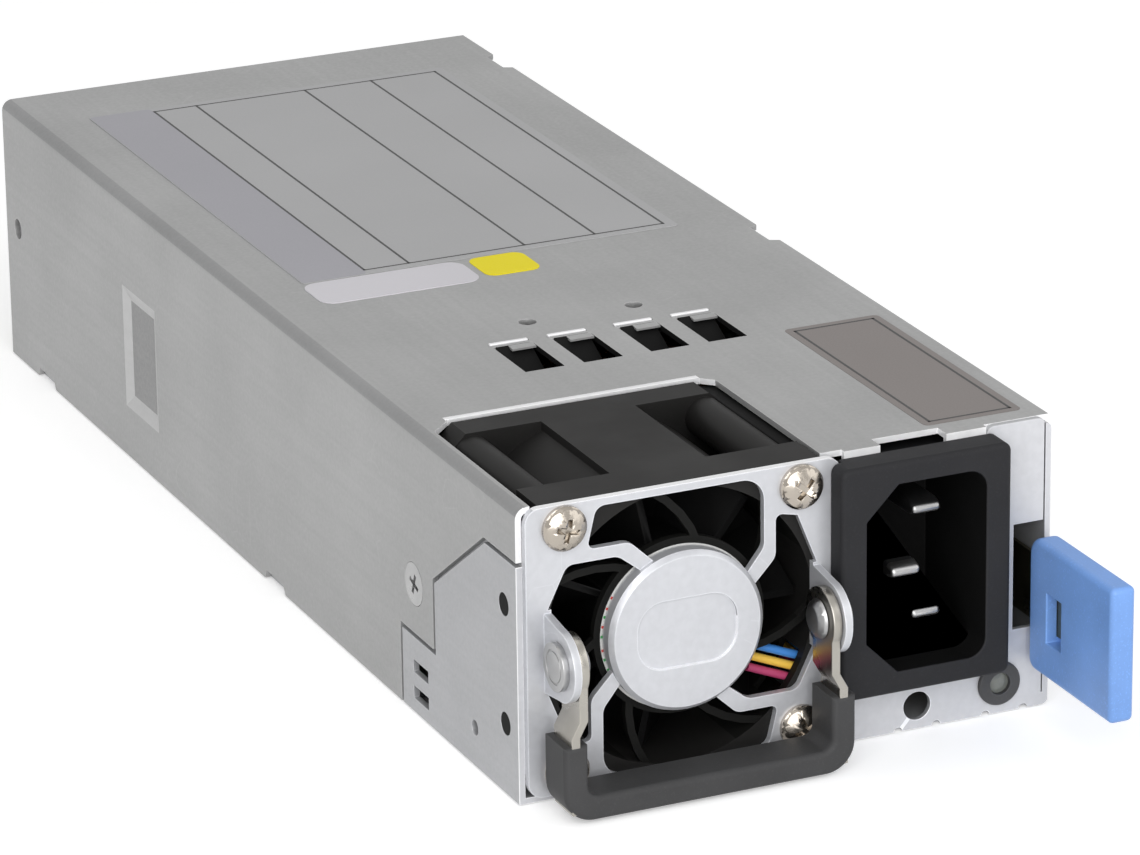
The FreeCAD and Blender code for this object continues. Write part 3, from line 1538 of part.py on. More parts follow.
def make_fan_plug():
    """Connector on the board for the fan's wires."""
    left = FAN_X + FAN_HALF + S.bezel_gap
    return block("fan_plug", left, left + S.plug_wide, behind(S.plug_place),
                 behind(S.plug_place + S.plug_long), BOARD_TOP, PLUG_TOP)


# ---------------------------------------------------------------------------------
# handle
# ---------------------------------------------------------------------------------
def strap_outline():
    """Return the front view of the bent strap, about the pivot."""
    outer = STRAP_OUT
    lower = EAR_HALF
    gauge = S.strap_gauge
    high = -S.joggle_high
    low = -S.joggle_low
    floor = STRAP_LOW
    right = [
        (outer - gauge, 0),
        (outer - gauge, high),
        (lower - gauge, low),
        (lower - gauge, floor + gauge),
    ]
    right_out = [
        (lower, floor),
        (lower, low),
        (outer, high),
        (outer, 0),
    ]
    left = [(-u, v) for u, v in right[::-1]]
    left_out = [(-u, v) for u, v in right_out[::-1]]
    return right_out + right + left + left_out


def make_handle_strap():
    """Steel strap bent to a U, with an eye at each end."""
    body = new_body("handle_strap", FAN_X, PIVOT_Y, FAN_Z)
    pad(body, "strap", "XZ", STRAP_FRONT, S.strap_wide, [strap_outline()])
    for side, start in (("left", -STRAP_OUT), ("right", STRAP_OUT - S.strap_gauge)):
        pad(body, side + "_eye", "YZ", start, S.strap_gauge, rings=[(0, 0, S.strap_eye_radius)])
        pocket(body, side + "_eye_hole", "YZ", start, S.strap_gauge,
               rings=[(0, 0, S.rivet_radius + S.hole_gap)])
    return body


def make_handle_grip():
    """Plastic U moulded round the lower part of the strap."""
    body = new_body("handle_grip", FAN_X, PIVOT_Y, FAN_Z)
    low = S.grip_floor_gap - FAN_Z
    high = low + S.grip_tall
    inner = GRIP_HALF - S.grip_bar
    shape = [
        (-GRIP_HALF, low, S.grip_corner),
        (GRIP_HALF, low, S.grip_corner),
        (GRIP_HALF, high),
        (inner, high),
        (inner, low + S.grip_bar, S.grip_inner_corner),
        (-inner, low + S.grip_bar, S.grip_inner_corner),
        (-inner, high),
        (-GRIP_HALF, high),
    ]
    front = S.guard_gauge + S.pivot_out - S.grip_front
    pad(body, "grip", "XZ", front, S.grip_front - S.grip_rear, [shape])
    dress_edges(body, "rounded_edges", "Fillet", S.grip_edge, edges_at("y", front))
    pocket(body, "strap_channel", "XZ", STRAP_FRONT, S.strap_wide, [strap_outline()])
    return body


def edges_at(axis, *places):
    """Return a test for edges that lie in a plane across the axis at one of the places."""
    goals = [as_size(place_).value for place_ in places]

    def test(edge):
        box = edge.BoundBox
        low = getattr(box, axis.upper() + "Min")
        high = getattr(box, axis.upper() + "Max")
        return any(abs(low - goal) < 1e-3 and abs(high - goal) < 1e-3 for goal in goals)

    return test


def make_handle_rivets():
    """Shouldered rivets: grooved flat head outside each ear, domed end inside each arm."""
    rivets = []
    head = S.rivet_head_tall
    floor = head - S.rivet_ring_deep
    length = EAR_HALF - STRAP_OUT + S.strap_gauge + S.slide_gap
    profile = [
        (head, 0),
        (head, S.rivet_ring_radius - S.rivet_ring_wide / 2),
        (floor, S.rivet_ring_radius - S.rivet_ring_wide / 2),
        (floor, S.rivet_ring_radius + S.rivet_ring_wide / 2),
        (head, S.rivet_ring_radius + S.rivet_ring_wide / 2),
        (head, S.rivet_head_radius),
        (0, S.rivet_head_radius),
        (0, S.rivet_radius),
        (-length, S.rivet_radius),
        (-length, S.rivet_end_radius),
        (-length - S.rivet_end_tall / 2, S.rivet_end_radius * SHOULDER),
        (-length - S.rivet_end_tall, S.rivet_radius),
        (-length - S.rivet_end_tall, 0),
    ]
    for number, side in enumerate((-1, 1), start=1):
        body = new_body("handle_rivet_%d" % number, FAN_X + side * EAR_HALF, PIVOT_Y, FAN_Z)
        turn(body, "rivet_%d" % number, [(side * as_size(out), radius) for out, radius in profile],
             axis="H_Axis")
        rivets.append(body)
    return group("handle_rivets", rivets)


# ---------------------------------------------------------------------------------
# inlet and lamp
# ---------------------------------------------------------------------------------
def make_inlet_housing():
    """Plastic inlet: bezel in front of the panel, body behind, socket with keyed corners."""
    body = new_body("inlet_housing", INLET_X, FRONT, INLET_Z)
    half_wide = BEZEL_WIDE / 2
    half_tall = BEZEL_TALL / 2
    front = -S.bezel_out
    pad(body, "bezel", "XZ", front, S.bezel_out,
        [box_outline(-half_wide, half_wide, -half_tall, half_tall, S.bezel_corner)])
    dress_edges(body, "bezel_edges", "Fillet", S.bezel_edge, edges_at("y", front))
    inset = S.inlet_body_inset
    pad(body, "rear_body", "XZ", 0, S.inlet_deep,
        [box_outline(-half_wide + inset, half_wide - inset, -half_tall + inset, half_tall - inset)])
    wide = half_wide - S.socket_side
    tall = half_tall - S.socket_rim
    pocket(body, "socket", "XZ", front, S.socket_deep, [[
        (-wide + S.socket_chamfer, -tall),
        (wide, -tall, S.socket_corner),
        (wide, tall, S.socket_corner),
        (-wide + S.socket_chamfer, tall),
        (-wide, tall - S.socket_chamfer),
        (-wide, -tall + S.socket_chamfer),
    ]])
    rebate = S.guard_gauge + S.hole_gap
    pocket(body, "guard_rebate", "XZ", -rebate, rebate,
           [box_outline(-half_wide, -half_wide + S.guard_tuck + S.hole_gap, -half_tall, half_tall)])
    pocket(body, "pin_slots", "XZ", 0, S.inlet_deep, [
        box_outline(x - S.pin_wide / 2, x + S.pin_wide / 2, z - S.pin_thick / 2, z + S.pin_thick / 2)
        for x, z, recess in pin_places()])
    return body


def pin_places():
    """Return x, z and recess behind the bezel of the three pins, from the inlet's middle."""
    return [
        (S.pin_offset, S.pin_pitch / 2, S.pin_recess),
        (S.pin_offset, -S.pin_pitch / 2, S.pin_recess),
        (-S.pin_offset, as_size(0), S.earth_recess),
    ]


def make_inlet_pins():
    """Line, neutral and earth pins with chamfered tips, running through to their terminals."""
    pins = []
    for number, (x, z, recess) in enumerate(pin_places(), start=1):
        body = new_body("inlet_pin_%d" % number, INLET_X, FRONT, INLET_Z)
        tip = recess - S.bezel_out
        rear = S.inlet_deep + S.terminal_long
        low = z - S.pin_thick / 2
        high = z + S.pin_thick / 2
        pad(body, "pin_%d" % number, "YZ", x - S.pin_wide / 2, S.pin_wide, [[
            (tip, low + S.pin_tip_drop),
            (tip + S.pin_tip, low),
            (rear, low),
            (rear, high),
            (tip + S.pin_tip, high),
            (tip, high - S.pin_tip_drop),
        ]])
        pins.append(body)
    return group("inlet_pins", pins)


def make_filter_board():
    """Upright board behind the inlet that its terminals are soldered to."""
    body = new_body("filter_board", INLET_X, behind(S.filter_board_place), INLET_Z)
    half = BEZEL_WIDE / 2 - S.filter_board_margin
    high = TOP_IN - S.filter_board_head
    pad(body, "board", "XZ", 0, S.board_gauge,
        [box_outline(-half, half, S.filter_board_low - INLET_Z, high - INLET_Z)])
    pocket(body, "terminal_slots", "XZ", 0, S.board_gauge, [
        box_outline(x - S.pin_wide / 2, x + S.pin_wide / 2, z - S.pin_thick / 2, z + S.pin_thick / 2)
        for x, z, recess in pin_places()])
    return body


def make_lamp_holder():
    """Round holder of the status lamp."""
    body = new_body("lamp_holder", LAMP_X, FRONT, LAMP_Z)
    bore = S.lens_radius + S.running_gap
    neck = LAMP_NECK - S.hole_gap
    turn(body, "holder", [
        (bore, -S.lamp_out),
        (LAMP_RADIUS - S.lamp_edge, -S.lamp_out),
        (LAMP_RADIUS, -S.lamp_out + S.lamp_edge),
        (LAMP_RADIUS, 0),
        (neck, 0),
        (neck, S.lamp_neck_long),
        (bore, S.lamp_neck_long),
    ])
    return body


def make_lamp_lens():
    """Lens with a domed tip, sunk a little in its holder."""
    body = new_body("lamp_lens", LAMP_X, FRONT, LAMP_Z)
    start = -S.lamp_out + S.lens_recess
    turn(body, "lens", [
        (0, start),
        (S.lens_radius / 2, start + S.lens_recess / 3),
        (S.lens_radius, start + S.lens_recess),
        (S.lens_radius, start + S.lens_long),
        (0, start + S.lens_long),
    ])
    return body


# ---------------------------------------------------------------------------------
# latch
# ---------------------------------------------------------------------------------
def make_latch_spring():
    """Spring leaf along the right wall with a catch that stands out through it."""
    body = new_body("latch_spring")
    low = S.leaf_low
    pad(body, "leaf", "YZ", LEAF_IN, S.leaf_gauge,
        [box_outline(behind(-S.leaf_in_tab), behind(S.leaf_rear), low, low + S.leaf_tall)])
    front = behind(S.catch_place - S.catch_long / 2)
    rear = behind(S.catch_place + S.catch_long / 2)
    tip = HALF + S.catch_out
    pad(body, "catch", "XY", LEAF_Z - S.catch_tall / 2, S.catch_tall, [[
        (LEAF_IN, rear),
        (LEAF_OUT, rear),
        (tip, front + S.catch_flat),
        (tip, front),
        (tip - S.leaf_gauge, front),
        (tip - S.leaf_gauge, front + S.catch_flat_inside),
        (LEAF_IN, rear - S.leaf_gauge),
    ]])
    pocket(body, "rivet_holes", "YZ", LEAF_IN, S.leaf_gauge,
           rings=[(behind(S.latch_pivot_place), height, S.rivet_radius + S.latch_play)
                  for height in LATCH_RIVET_HEIGHTS])
    return body


def make_latch_rivets():
    """Two rivets that hold the leaf to the wall with play for its swing."""
    rivets = []
    shoulder = S.leaf_space / 2
    for number, height in enumerate(LATCH_RIVET_HEIGHTS, start=1):
        body = new_body("latch_rivet_%d" % number, HALF, behind(S.latch_pivot_place), height)
        inner = -(S.sheet_gauge + S.leaf_space + S.leaf_gauge + S.latch_play)
        wide = S.leaf_tall / 4 - S.hole_gap
        turn(body, "latch_rivet_shape_%d" % number, [
            (0, 0),
            (0, S.rivet_radius - S.running_gap),
            (-S.sheet_gauge, S.rivet_radius - S.running_gap),
            (-S.sheet_gauge, wide),
            (-S.sheet_gauge - shoulder, wide),
            (-S.sheet_gauge - shoulder, S.rivet_radius - S.running_gap),
            (inner, S.rivet_radius - S.running_gap),
            (inner, wide),
            (inner - S.rivet_end_tall, wide * NARROWED),
            (inner - S.rivet_end_tall, 0),
        ], axis="H_Axis")
        rivets.append(body)
    return group("latch_rivets", rivets)


def make_latch_tab():
    """Plastic release tab moulded on the front end of the leaf."""
    body = new_body("latch_tab")
    right = HALF - S.tab_side_gap
    left = right - S.tab_thick
    front = behind(-S.tab_front)
    rear = behind(-S.tab_rear)
    high = S.tab_low + S.tab_tall
    pad(body, "tab", "YZ", left, S.tab_thick, [[
        (front, S.tab_low, S.tab_edge),
        (rear, S.tab_low, S.tab_low_round),
        (rear, high, S.tab_round),
        (front, high, S.tab_edge),
    ]])
    dress_edges(body, "tab_edges", "Fillet", S.tab_edge, edges_at("x", left, right))
    window_rear = behind(-S.tab_window_place + S.tab_window_long / 2)
    pocket(body, "tab_window", "YZ", left, LEAF_OUT - left,
           [box_outline(window_rear - S.tab_window_long, window_rear,
                        S.tab_window_low, S.tab_window_low + S.tab_window_tall)])
    pocket(body, "leaf_channel", "YZ", LEAF_IN, S.leaf_gauge,
           [box_outline(behind(-S.leaf_in_tab), rear, S.leaf_low, S.leaf_low + S.leaf_tall)])
    return body


# ---------------------------------------------------------------------------------
# main board
# ---------------------------------------------------------------------------------
def make_main_board():
    """Circuit board whose narrower rear edge is the plug."""
    body = new_body("main_board", 0, 0, S.board_height)
    rear = REAR_FACE - S.tongue_gap
    pad(body, "board", "XY", 0, S.board_gauge, [[
        (-BOARD_HALF, behind(S.board_front)),
        (BOARD_HALF, behind(S.board_front)),
        (BOARD_HALF, rear),
        (TONGUE_HALF, rear),
        (TONGUE_HALF, REAR + S.tongue_out),
        (-TONGUE_HALF, REAR + S.tongue_out),
        (-TONGUE_HALF, rear),
        (-BOARD_HALF, rear),
    ]], [(x, y, S.board_screw_radius + S.hole_gap) for x, y in board_spots()])
    return body


def board_spots():
    """Return the places of the screws that hold the board."""
    front = behind(S.board_front) + S.standoff_radius
    rear = REAR_FACE - S.tongue_gap - 2 * S.standoff_radius
    middle = behind(S.sink_place) + SINK_LONG + S.standoff_radius + S.board_screw_head_tall
    near_can = behind(S.bulk_place) + BULK_LONG + S.standoff_radius + S.part_gap
    return [(-SCREW_SIDE, front), (SCREW_SIDE, front), (-SCREW_SIDE, middle),
            (SCREW_SIDE, near_can), (-SCREW_SIDE, rear), (SCREW_SIDE, rear)]


def make_standoffs():
    """Six posts between the floor and the board."""
    posts = []
    for number, (x, y) in enumerate(board_spots(), start=1):
        posts.append(cut("standoff_%d" % number,
                         rod("post_%d" % number, "Z", x, y, S.sheet_gauge, S.standoff_radius,
                             S.board_height - S.sheet_gauge),
                         rod("post_hole_%d" % number, "Z", x, y, S.sheet_gauge,
                             S.board_screw_radius + S.hole_gap, S.board_height)))
    return group("board_standoffs", posts)


def make_board_screws():
    """Screws through the board into the posts."""
    screws = []
    for number, (x, y) in enumerate(board_spots(), start=1):
        head = rod("board_screw_head_%d" % number, "Z", x, y, BOARD_TOP,
                   S.board_screw_head_radius, S.board_screw_head_tall)
        shank = rod("board_screw_shank_%d" % number, "Z", x, y, BOARD_TOP - S.board_screw_long,
                    S.board_screw_radius, S.board_screw_long)
        screws.append(fuse("board_screw_%d" % number, head, shank))
    return group("board_screws", screws)


def make_insulator():
    """Insulating sheet on the case's floor."""
    half = BOARD_HALF - S.insulator_inset
    front = behind(S.fan_depth + S.insulator_gap)
    sheet = block("insulator_sheet", -half, half, front, REAR_FACE - S.rear_flange,
                  S.sheet_gauge, S.sheet_gauge + S.insulator_gauge)
    holes = []
    for number, (x, y) in enumerate(board_spots(), start=1):
        holes.append(rod("insulator_hole_%d" % number, "Z", x, y, 0,
                         S.standoff_radius + S.insulator_gauge, S.board_height))
    return cut("insulating_sheet", sheet, *holes)


def make_edge_contacts():
    """Contact strips on both sides of the board's plug edge."""
    strips = []
    end = REAR + S.tongue_out - S.contact_inset
    count = int((2 * TONGUE_HALF - S.contact_margin).value / S.contact_pitch.value)
    first = -(count - 1) / 2 * S.contact_pitch - S.contact_wide / 2
    for level, low in enumerate((S.board_height - S.contact_gauge, BOARD_TOP)):
        for column in range(count):
            left = first + column * S.contact_pitch
            strips.append(block("contact_%d_%d" % (level, column), left, left + S.contact_wide,
                                end - S.contact_long, end, low, low + S.contact_gauge))
    return group("edge_contacts", strips)


# ---------------------------------------------------------------------------------
# parts on the board
# ---------------------------------------------------------------------------------
def make_toroid(name, x, y, radius, hole, tall):
    """Return a ring core lying flat and the wound ring round it."""
    low = BOARD_TOP + S.winding_gauge + S.part_gap
    core = cut(name + "_core",
               rod(name + "_ring", "Z", x, y, low, radius, tall),
               rod(name + "_hole", "Z", x, y, low, hole, tall))
    gap = S.hole_gap
    skin = S.winding_gauge
    outer = cut(name + "_coil_block",
                rod(name + "_coil_ring", "Z", x, y, low - skin, radius + skin, tall + 2 * skin),
                rod(name + "_coil_hole", "Z", x, y, low - skin, hole - skin, tall + 2 * skin),
                cut(name + "_coil_room",
                    rod(name + "_room_ring", "Z", x, y, low - gap, radius + gap, tall + 2 * gap),
                    rod(name + "_room_hole", "Z", x, y, low - gap, hole - gap, tall + 2 * gap)),
                block(name + "_coil_split", x - skin, x + skin, y - 2 * radius, y + 2 * radius,
                      low - 2 * skin, low + tall + 2 * skin))
    outer.Label = name + "_winding"
    return [core, outer]


def make_film_capacitors():
    """Two box capacitors of the mains filter."""
    boxes = []
    for name, x, place_y in (("front_film", FILM_FRONT_X, S.film_front_place),
                             ("rear_film", FILM_REAR_X, S.film_rear_place)):
        boxes.append(block(name, x, x + S.film_wide, behind(place_y), behind(place_y + S.film_long),
                           BOARD_TOP, BOARD_TOP + S.film_tall))
    return group("film_capacitors", boxes)


def make_disc_capacitors():
    """Two disc capacitors standing on the board."""
    discs = []
    for number in range(2):
        discs.append(rod("disc_%d" % number, "Y", DISC_X + number * S.disc_pitch,
                         behind(S.disc_place), BOARD_TOP + S.disc_radius, S.disc_radius - S.hole_gap,
                         S.disc_thick))
    return group("disc_capacitors", discs)


def make_fuse():
    """Cartridge fuse: tube with a cap at each end."""
    height = BOARD_TOP + S.fuse_radius + S.fuse_cap_gauge
    start = behind(S.fuse_place)
    tube = rod("fuse_tube", "Y", FUSE_X, start, height, S.fuse_radius, S.fuse_long)
    front = rod("fuse_front_cap", "Y", FUSE_X, start, height, S.fuse_radius + S.fuse_cap_gauge,
                S.fuse_cap_long)
    rear = rod("fuse_rear_cap", "Y", FUSE_X, start + S.fuse_long - S.fuse_cap_long, height,
               S.fuse_radius + S.fuse_cap_gauge, S.fuse_cap_long)
    return fuse("mains_fuse", tube, front, rear)


def make_bridge_rectifier():
    """Upright bridge rectifier."""
    start = behind(S.bridge_place)
    return block("bridge_rectifier", BRIDGE_LEFT, BRIDGE_RIGHT, start, start + S.bridge_thick,
                 BOARD_TOP + S.part_gap, BOARD_TOP + S.part_gap + S.bridge_tall)


def make_bulk_capacitor():
    """Large smoothing capacitor lying along the module."""
    low = BOARD_TOP + S.bulk_lift
    body = new_body("bulk_capacitor", BULK_X, behind(S.bulk_place), low + BULK_RADIUS)
    groove = S.part_gap
    turn(body, "can", [
        (0, 0),
        (BULK_RADIUS - groove, 0),
        (BULK_RADIUS, groove),
        (BULK_RADIUS, BULK_LONG - 5 * groove),
        (BULK_RADIUS - groove, BULK_LONG - 4 * groove),
        (BULK_RADIUS, BULK_LONG - 3 * groove),
        (BULK_RADIUS, BULK_LONG),
        (0, BULK_LONG),
    ])
    return body


def make_finned_sink(name, x, y, wide, long_, tall, base, count, upright):
    """Heat sink: a base plate with parallel fins, upright on its edge or lying flat."""
    low = BOARD_TOP + S.part_gap
    parts = []
    if upright:
        parts.append(block(name + "_base", x, x + base, y, y + long_, low, low + tall))
        pitch = (tall - S.sink_fin) / (count - 1)
        for number in range(count):
            fin = low + number * pitch
            parts.append(block("%s_fin_%d" % (name, number), x - wide, x + base, y, y + long_, fin,
                               fin + S.sink_fin))
    else:
        parts.append(block(name + "_base", x, x + wide, y, y + long_, low, low + base))
        pitch = (wide - S.sink_fin) / (count - 1)
        for number in range(count):
            fin = x + number * pitch
            parts.append(block("%s_fin_%d" % (name, number), fin, fin + S.sink_fin, y, y + long_, low,
                               low + tall))
    return fuse(name, *parts)


def make_power_transistors():
    """Flat packages against the primary heat sink, as many as its length takes."""
    packages = []
    left = SINK_X + S.sink_base
    count = int((SINK_LONG - S.part_gap).value / S.package_pitch.value)
    for number in range(count):
        start = behind(S.sink_place) + S.part_gap + number * S.package_pitch
        packages.append(block("package_%d" % number, left, left + S.package_thick, start,
                              start + S.package_wide, BOARD_TOP + S.part_gap,
                              BOARD_TOP + S.part_gap + S.package_tall))
    return group("power_transistors", packages)


def make_transformer():
    """Return the transformer's core and its winding."""
    low = BOARD_TOP + S.part_gap
    left = CORE_LEFT
    right = CORE_RIGHT
    front = CORE_FRONT
    rear = front + S.core_long
    high = low + S.core_tall
    plate = S.core_plate
    middle = low + S.core_tall / 2
    centre_x = (left + right) / 2
    centre_y = front + S.core_long / 2
    inner = S.core_centre
    core = fuse("transformer_core",
                block("core_front", left, right, front, front + plate, low, high),
                block("core_rear", left, right, rear - plate, rear, low, high),
                block("core_top", left, right, front, rear, high - plate, high),
                block("core_bottom", left, right, front, rear, low, low + plate),
                rod("core_post", "Z", centre_x, centre_y, low, inner / 2, S.core_tall))
    gap = S.coil_gap
    winding = cut("transformer_winding",
                  block("coil_body", left, right, front + plate + gap, rear - plate - gap,
                        low + plate + gap, high - plate - gap),
                  rod("coil_bore", "Z", centre_x, centre_y, middle - S.core_tall / 2, inner / 2 + gap,
                      S.core_tall))
    return [core, winding]


def make_output_capacitors():
    """Rows of upright cans on the output side."""
    cans = []
    for row in range(int(S.can_rows.value)):
        for column in range(int(S.can_columns.value)):
            cans.append(rod("can_%d_%d" % (row, column), "Z",
                            CAN_LEFT + S.can_radius + column * S.can_pitch,
                            OUTPUT_FRONT + S.can_inset + S.can_radius + row * S.can_pitch, BOARD_TOP,
                            S.can_radius, S.can_tall))
    return group("output_capacitors", cans)


def make_control_board():
    """Upright control board beside the output capacitors, with its chip."""
    front = OUTPUT_FRONT + S.control_inset
    low = BOARD_TOP + S.hole_gap
    high = low + S.control_tall
    board = block("control_plate", CONTROL_X, CONTROL_X + S.control_gauge, front,
                  front + S.control_long, low, high)
    middle_y = front + S.control_long / 2
    middle_z = low + S.control_tall / 2
    chip = block("control_chip", CONTROL_X - S.chip_tall, CONTROL_X, middle_y - S.chip_size / 2,
                 middle_y + S.chip_size / 2, middle_z - S.chip_size / 2, middle_z + S.chip_size / 2)
    return fuse("control_board", board, chip)


def make_bus_bars():
    """Copper bars that carry the output to the plug edge."""
    bars = []
    for number in range(2):
        left = BAR_X + number * S.bar_pitch
        front = REAR - S.bar_inset
        bars.append(block("bar_%d" % number, left, left + S.bar_wide, front, front + S.bar_long,
                          BOARD_TOP, BOARD_TOP + S.bar_gauge))
    return group("bus_bars", bars)


# ---------------------------------------------------------------------------------
# document and export
# ---------------------------------------------------------------------------------
def check_and_write(nodes):
    """Recompute, stop on any failed object or shape, and write one file for each node."""
    DOC.recompute()
    for item in DOC.Objects:
        if "Invalid" in item.State or "Error" in item.State:
            raise RuntimeError("failed object: %s %s" % (item.Name, item.State))
        if item.TypeId in ("PartDesign::Pocket", "PartDesign::Groove"):
            removed = item.BaseFeature.Shape.Volume - item.Shape.Volume
            if removed <= 0:
                raise RuntimeError("cuts nothing: " + item.Name)
    os.makedirs("parts", exist_ok=True)
    for node in nodes:
        if node.Shape.isNull() or not node.Shape.isValid():
            raise RuntimeError("bad shape: " + node.Label)
        node.Shape.exportStep("parts/%s.step" % node.Label)


def main():
    """Build every piece and write it."""
    nodes = [make_chassis(), make_cover(), make_rear_panel(), make_cover_screw()]
    nodes += [
        make_guard(),
        make_pan_screws("fan_screws", [(FAN_X + u, FAN_Z + v) for u, v in square_spots(FAN_HOLE)],
                        FRONT - S.guard_gauge, S.screw_head_radius, S.screw_head_tall,
                        S.screw_dome, S.screw_radius, S.screw_long),
        make_fan_frame(),
        make_fan_rotor(),
        make_rotor_magnet(),
        make_fan_shaft(),
        make_fan_bearings(),
        make_fan_stator(),
        make_fan_windings(),
        make_fan_leads(),
        make_fan_plug(),
        make_handle_strap(),
        make_handle_grip(),
        make_handle_rivets(),
        make_inlet_housing(),
        make_inlet_pins(),
        make_filter_board(),
        make_lamp_holder(),
        make_lamp_lens(),
        make_latch_spring(),
        make_latch_rivets(),
        make_latch_tab(),
        make_main_board(),
        make_standoffs(),
        make_board_screws(),
        make_insulator(),
        make_edge_contacts(),
    ]
    nodes += make_toroid("line_choke", CHOKE_X, behind(S.choke_place), S.choke_radius,
                         S.choke_hole_radius, S.choke_tall)
    nodes += make_toroid("boost_choke", BOOST_X, behind(S.boost_place), S.boost_radius,
                         S.boost_hole_radius, S.boost_tall)
    nodes += [
        make_film_capacitors(),
        make_disc_capacitors(),
        make_fuse(),
        make_bridge_rectifier(),
        make_bulk_capacitor(),
        make_finned_sink("primary_heat_sink", SINK_X, behind(S.sink_place), S.sink_fin_out,
                         SINK_LONG, S.sink_tall, S.sink_base, int(S.sink_fin_count.value), True),
        make_power_transistors(),
        make_finned_sink("output_heat_sink", OUTPUT_SINK_LEFT, OUTPUT_FRONT,
                         CAN_LEFT - S.output_sink_gap - OUTPUT_SINK_LEFT, S.output_sink_long,
                         S.output_sink_tall, S.output_sink_base, int(S.output_fin_count.value),
                         False),
        make_output_capacitors(),
        make_control_board(),
        make_bus_bars(),
    ]
    nodes += make_transformer()
    check_and_write(nodes)
    for node in nodes:
        box = node.Shape.BoundBox
        print("%-22s solids %2d  volume %9.1f  x %.2f..%.2f  y %.2f..%.2f  z %.2f..%.2f" % (
            node.Label, len(node.Shape.Solids), node.Shape.Volume, box.XMin, box.XMax,
            box.YMin, box.YMax, box.ZMin, box.ZMax))


main()
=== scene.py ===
"""Looks of the hot swap power supply: finishes, rounded skins, labels, lights and camera."""
import json
import logging
import math
from dataclasses import dataclass, field
from enum import Enum
from functools import cache

import bpy
from mathutils import Matrix, Vector


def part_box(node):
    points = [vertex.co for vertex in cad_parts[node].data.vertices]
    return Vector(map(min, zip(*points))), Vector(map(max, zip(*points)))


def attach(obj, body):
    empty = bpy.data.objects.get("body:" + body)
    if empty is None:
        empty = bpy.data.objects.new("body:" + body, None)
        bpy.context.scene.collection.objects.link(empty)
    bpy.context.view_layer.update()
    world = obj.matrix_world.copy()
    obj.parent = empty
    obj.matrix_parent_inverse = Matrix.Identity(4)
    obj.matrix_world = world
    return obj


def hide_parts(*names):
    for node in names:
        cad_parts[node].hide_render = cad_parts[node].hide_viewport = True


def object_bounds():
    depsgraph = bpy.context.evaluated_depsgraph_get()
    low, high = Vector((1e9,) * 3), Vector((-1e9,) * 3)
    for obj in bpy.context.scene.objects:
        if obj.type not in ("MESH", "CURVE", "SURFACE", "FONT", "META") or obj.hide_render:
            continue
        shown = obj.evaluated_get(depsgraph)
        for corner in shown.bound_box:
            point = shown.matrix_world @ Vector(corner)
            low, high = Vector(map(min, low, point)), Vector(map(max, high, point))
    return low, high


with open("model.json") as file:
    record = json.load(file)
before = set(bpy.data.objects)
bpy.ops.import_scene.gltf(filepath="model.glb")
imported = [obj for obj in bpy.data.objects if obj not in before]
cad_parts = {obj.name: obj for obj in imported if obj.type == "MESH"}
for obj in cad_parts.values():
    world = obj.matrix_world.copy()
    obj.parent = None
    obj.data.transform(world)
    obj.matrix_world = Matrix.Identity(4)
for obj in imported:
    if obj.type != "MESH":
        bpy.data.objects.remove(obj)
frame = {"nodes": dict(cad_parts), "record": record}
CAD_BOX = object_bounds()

LOG = logging.getLogger("power_supply")
Triple = tuple[float, float, float]
Sides = tuple[float, float, float, float]
MM = 0.001
# In millimetres: the case's front face in Y, and the fan hub's front behind it.
FRONT = -92.5
HUB_FRONT = 0.3
# Distances of the meshes and shaders in metres, angles in degrees.
MERGE_DISTANCE = 0.000002
FLAT_ANGLE = 0.5
SMOOTH_ANGLE = 32.0
TRIM_ANGLE = 40.0
FINE_BUMP = 0.00001
STEP = 0.00001
# The part of a noise's range that counts.
MIDDLE_RANGE = (0.3, 0.7)
PURE_WHITE = (1.0, 1.0, 1.0, 1.0)
FLOOR_GREY = (0.9, 0.9, 0.9, 1.0)
LOUVRE_MIDDLES = (-13.0, -4.75, 4.75, 13.0)


# -------------------------------------------------- helpers
def deselect() -> None:
    """Leave edit mode and select nothing."""
    if bpy.context.object is not None and bpy.context.object.mode != "OBJECT":
        bpy.ops.object.mode_set(mode="OBJECT")
    bpy.ops.object.select_all(action="DESELECT")


def only(obj: bpy.types.Object) -> bpy.types.Object:
    """Select one object alone and make it active.

    Args:
        obj: the object to select.

    Returns:
        The same object.
    """
    deselect()
    obj.select_set(True)
    bpy.context.view_layer.objects.active = obj
    return obj


def settle(obj: bpy.types.Object, name: str) -> bpy.types.Object:
    """Name a piece and bake its place into its mesh.

    Args:
        obj: the finished object.
        name: its name in the scene.

    Returns:
        The same object, at the origin.
    """
    only(obj)
    obj.name = name
    obj.data.name = name
    bpy.ops.object.transform_apply(location=True, rotation=True, scale=True)
    return obj


def apply_all(obj: bpy.types.Object) -> None:
    """Apply every modifier of an object in order."""
    only(obj)
    for modifier in list(obj.modifiers):
        bpy.ops.object.modifier_apply(modifier=modifier.name)


def round_edges(piece: bpy.types.Object, radius: float, degrees: float = 30.0) -> None:
    """Round the edges that turn past an angle, with the radius in metres."""
    rounding = piece.modifiers.new("rounding", "BEVEL")
    rounding.width = radius
    rounding.segments = 3
    rounding.limit_method = "ANGLE"
    rounding.angle_limit = math.radians(degrees)
    apply_all(piece)


def smooth(obj: bpy.types.Object, degrees: float = 30.0) -> None:
    """Shade an object smooth, with sharp edges past an angle."""
    only(obj)
    bpy.ops.object.shade_smooth_by_angle(angle=math.radians(degrees))


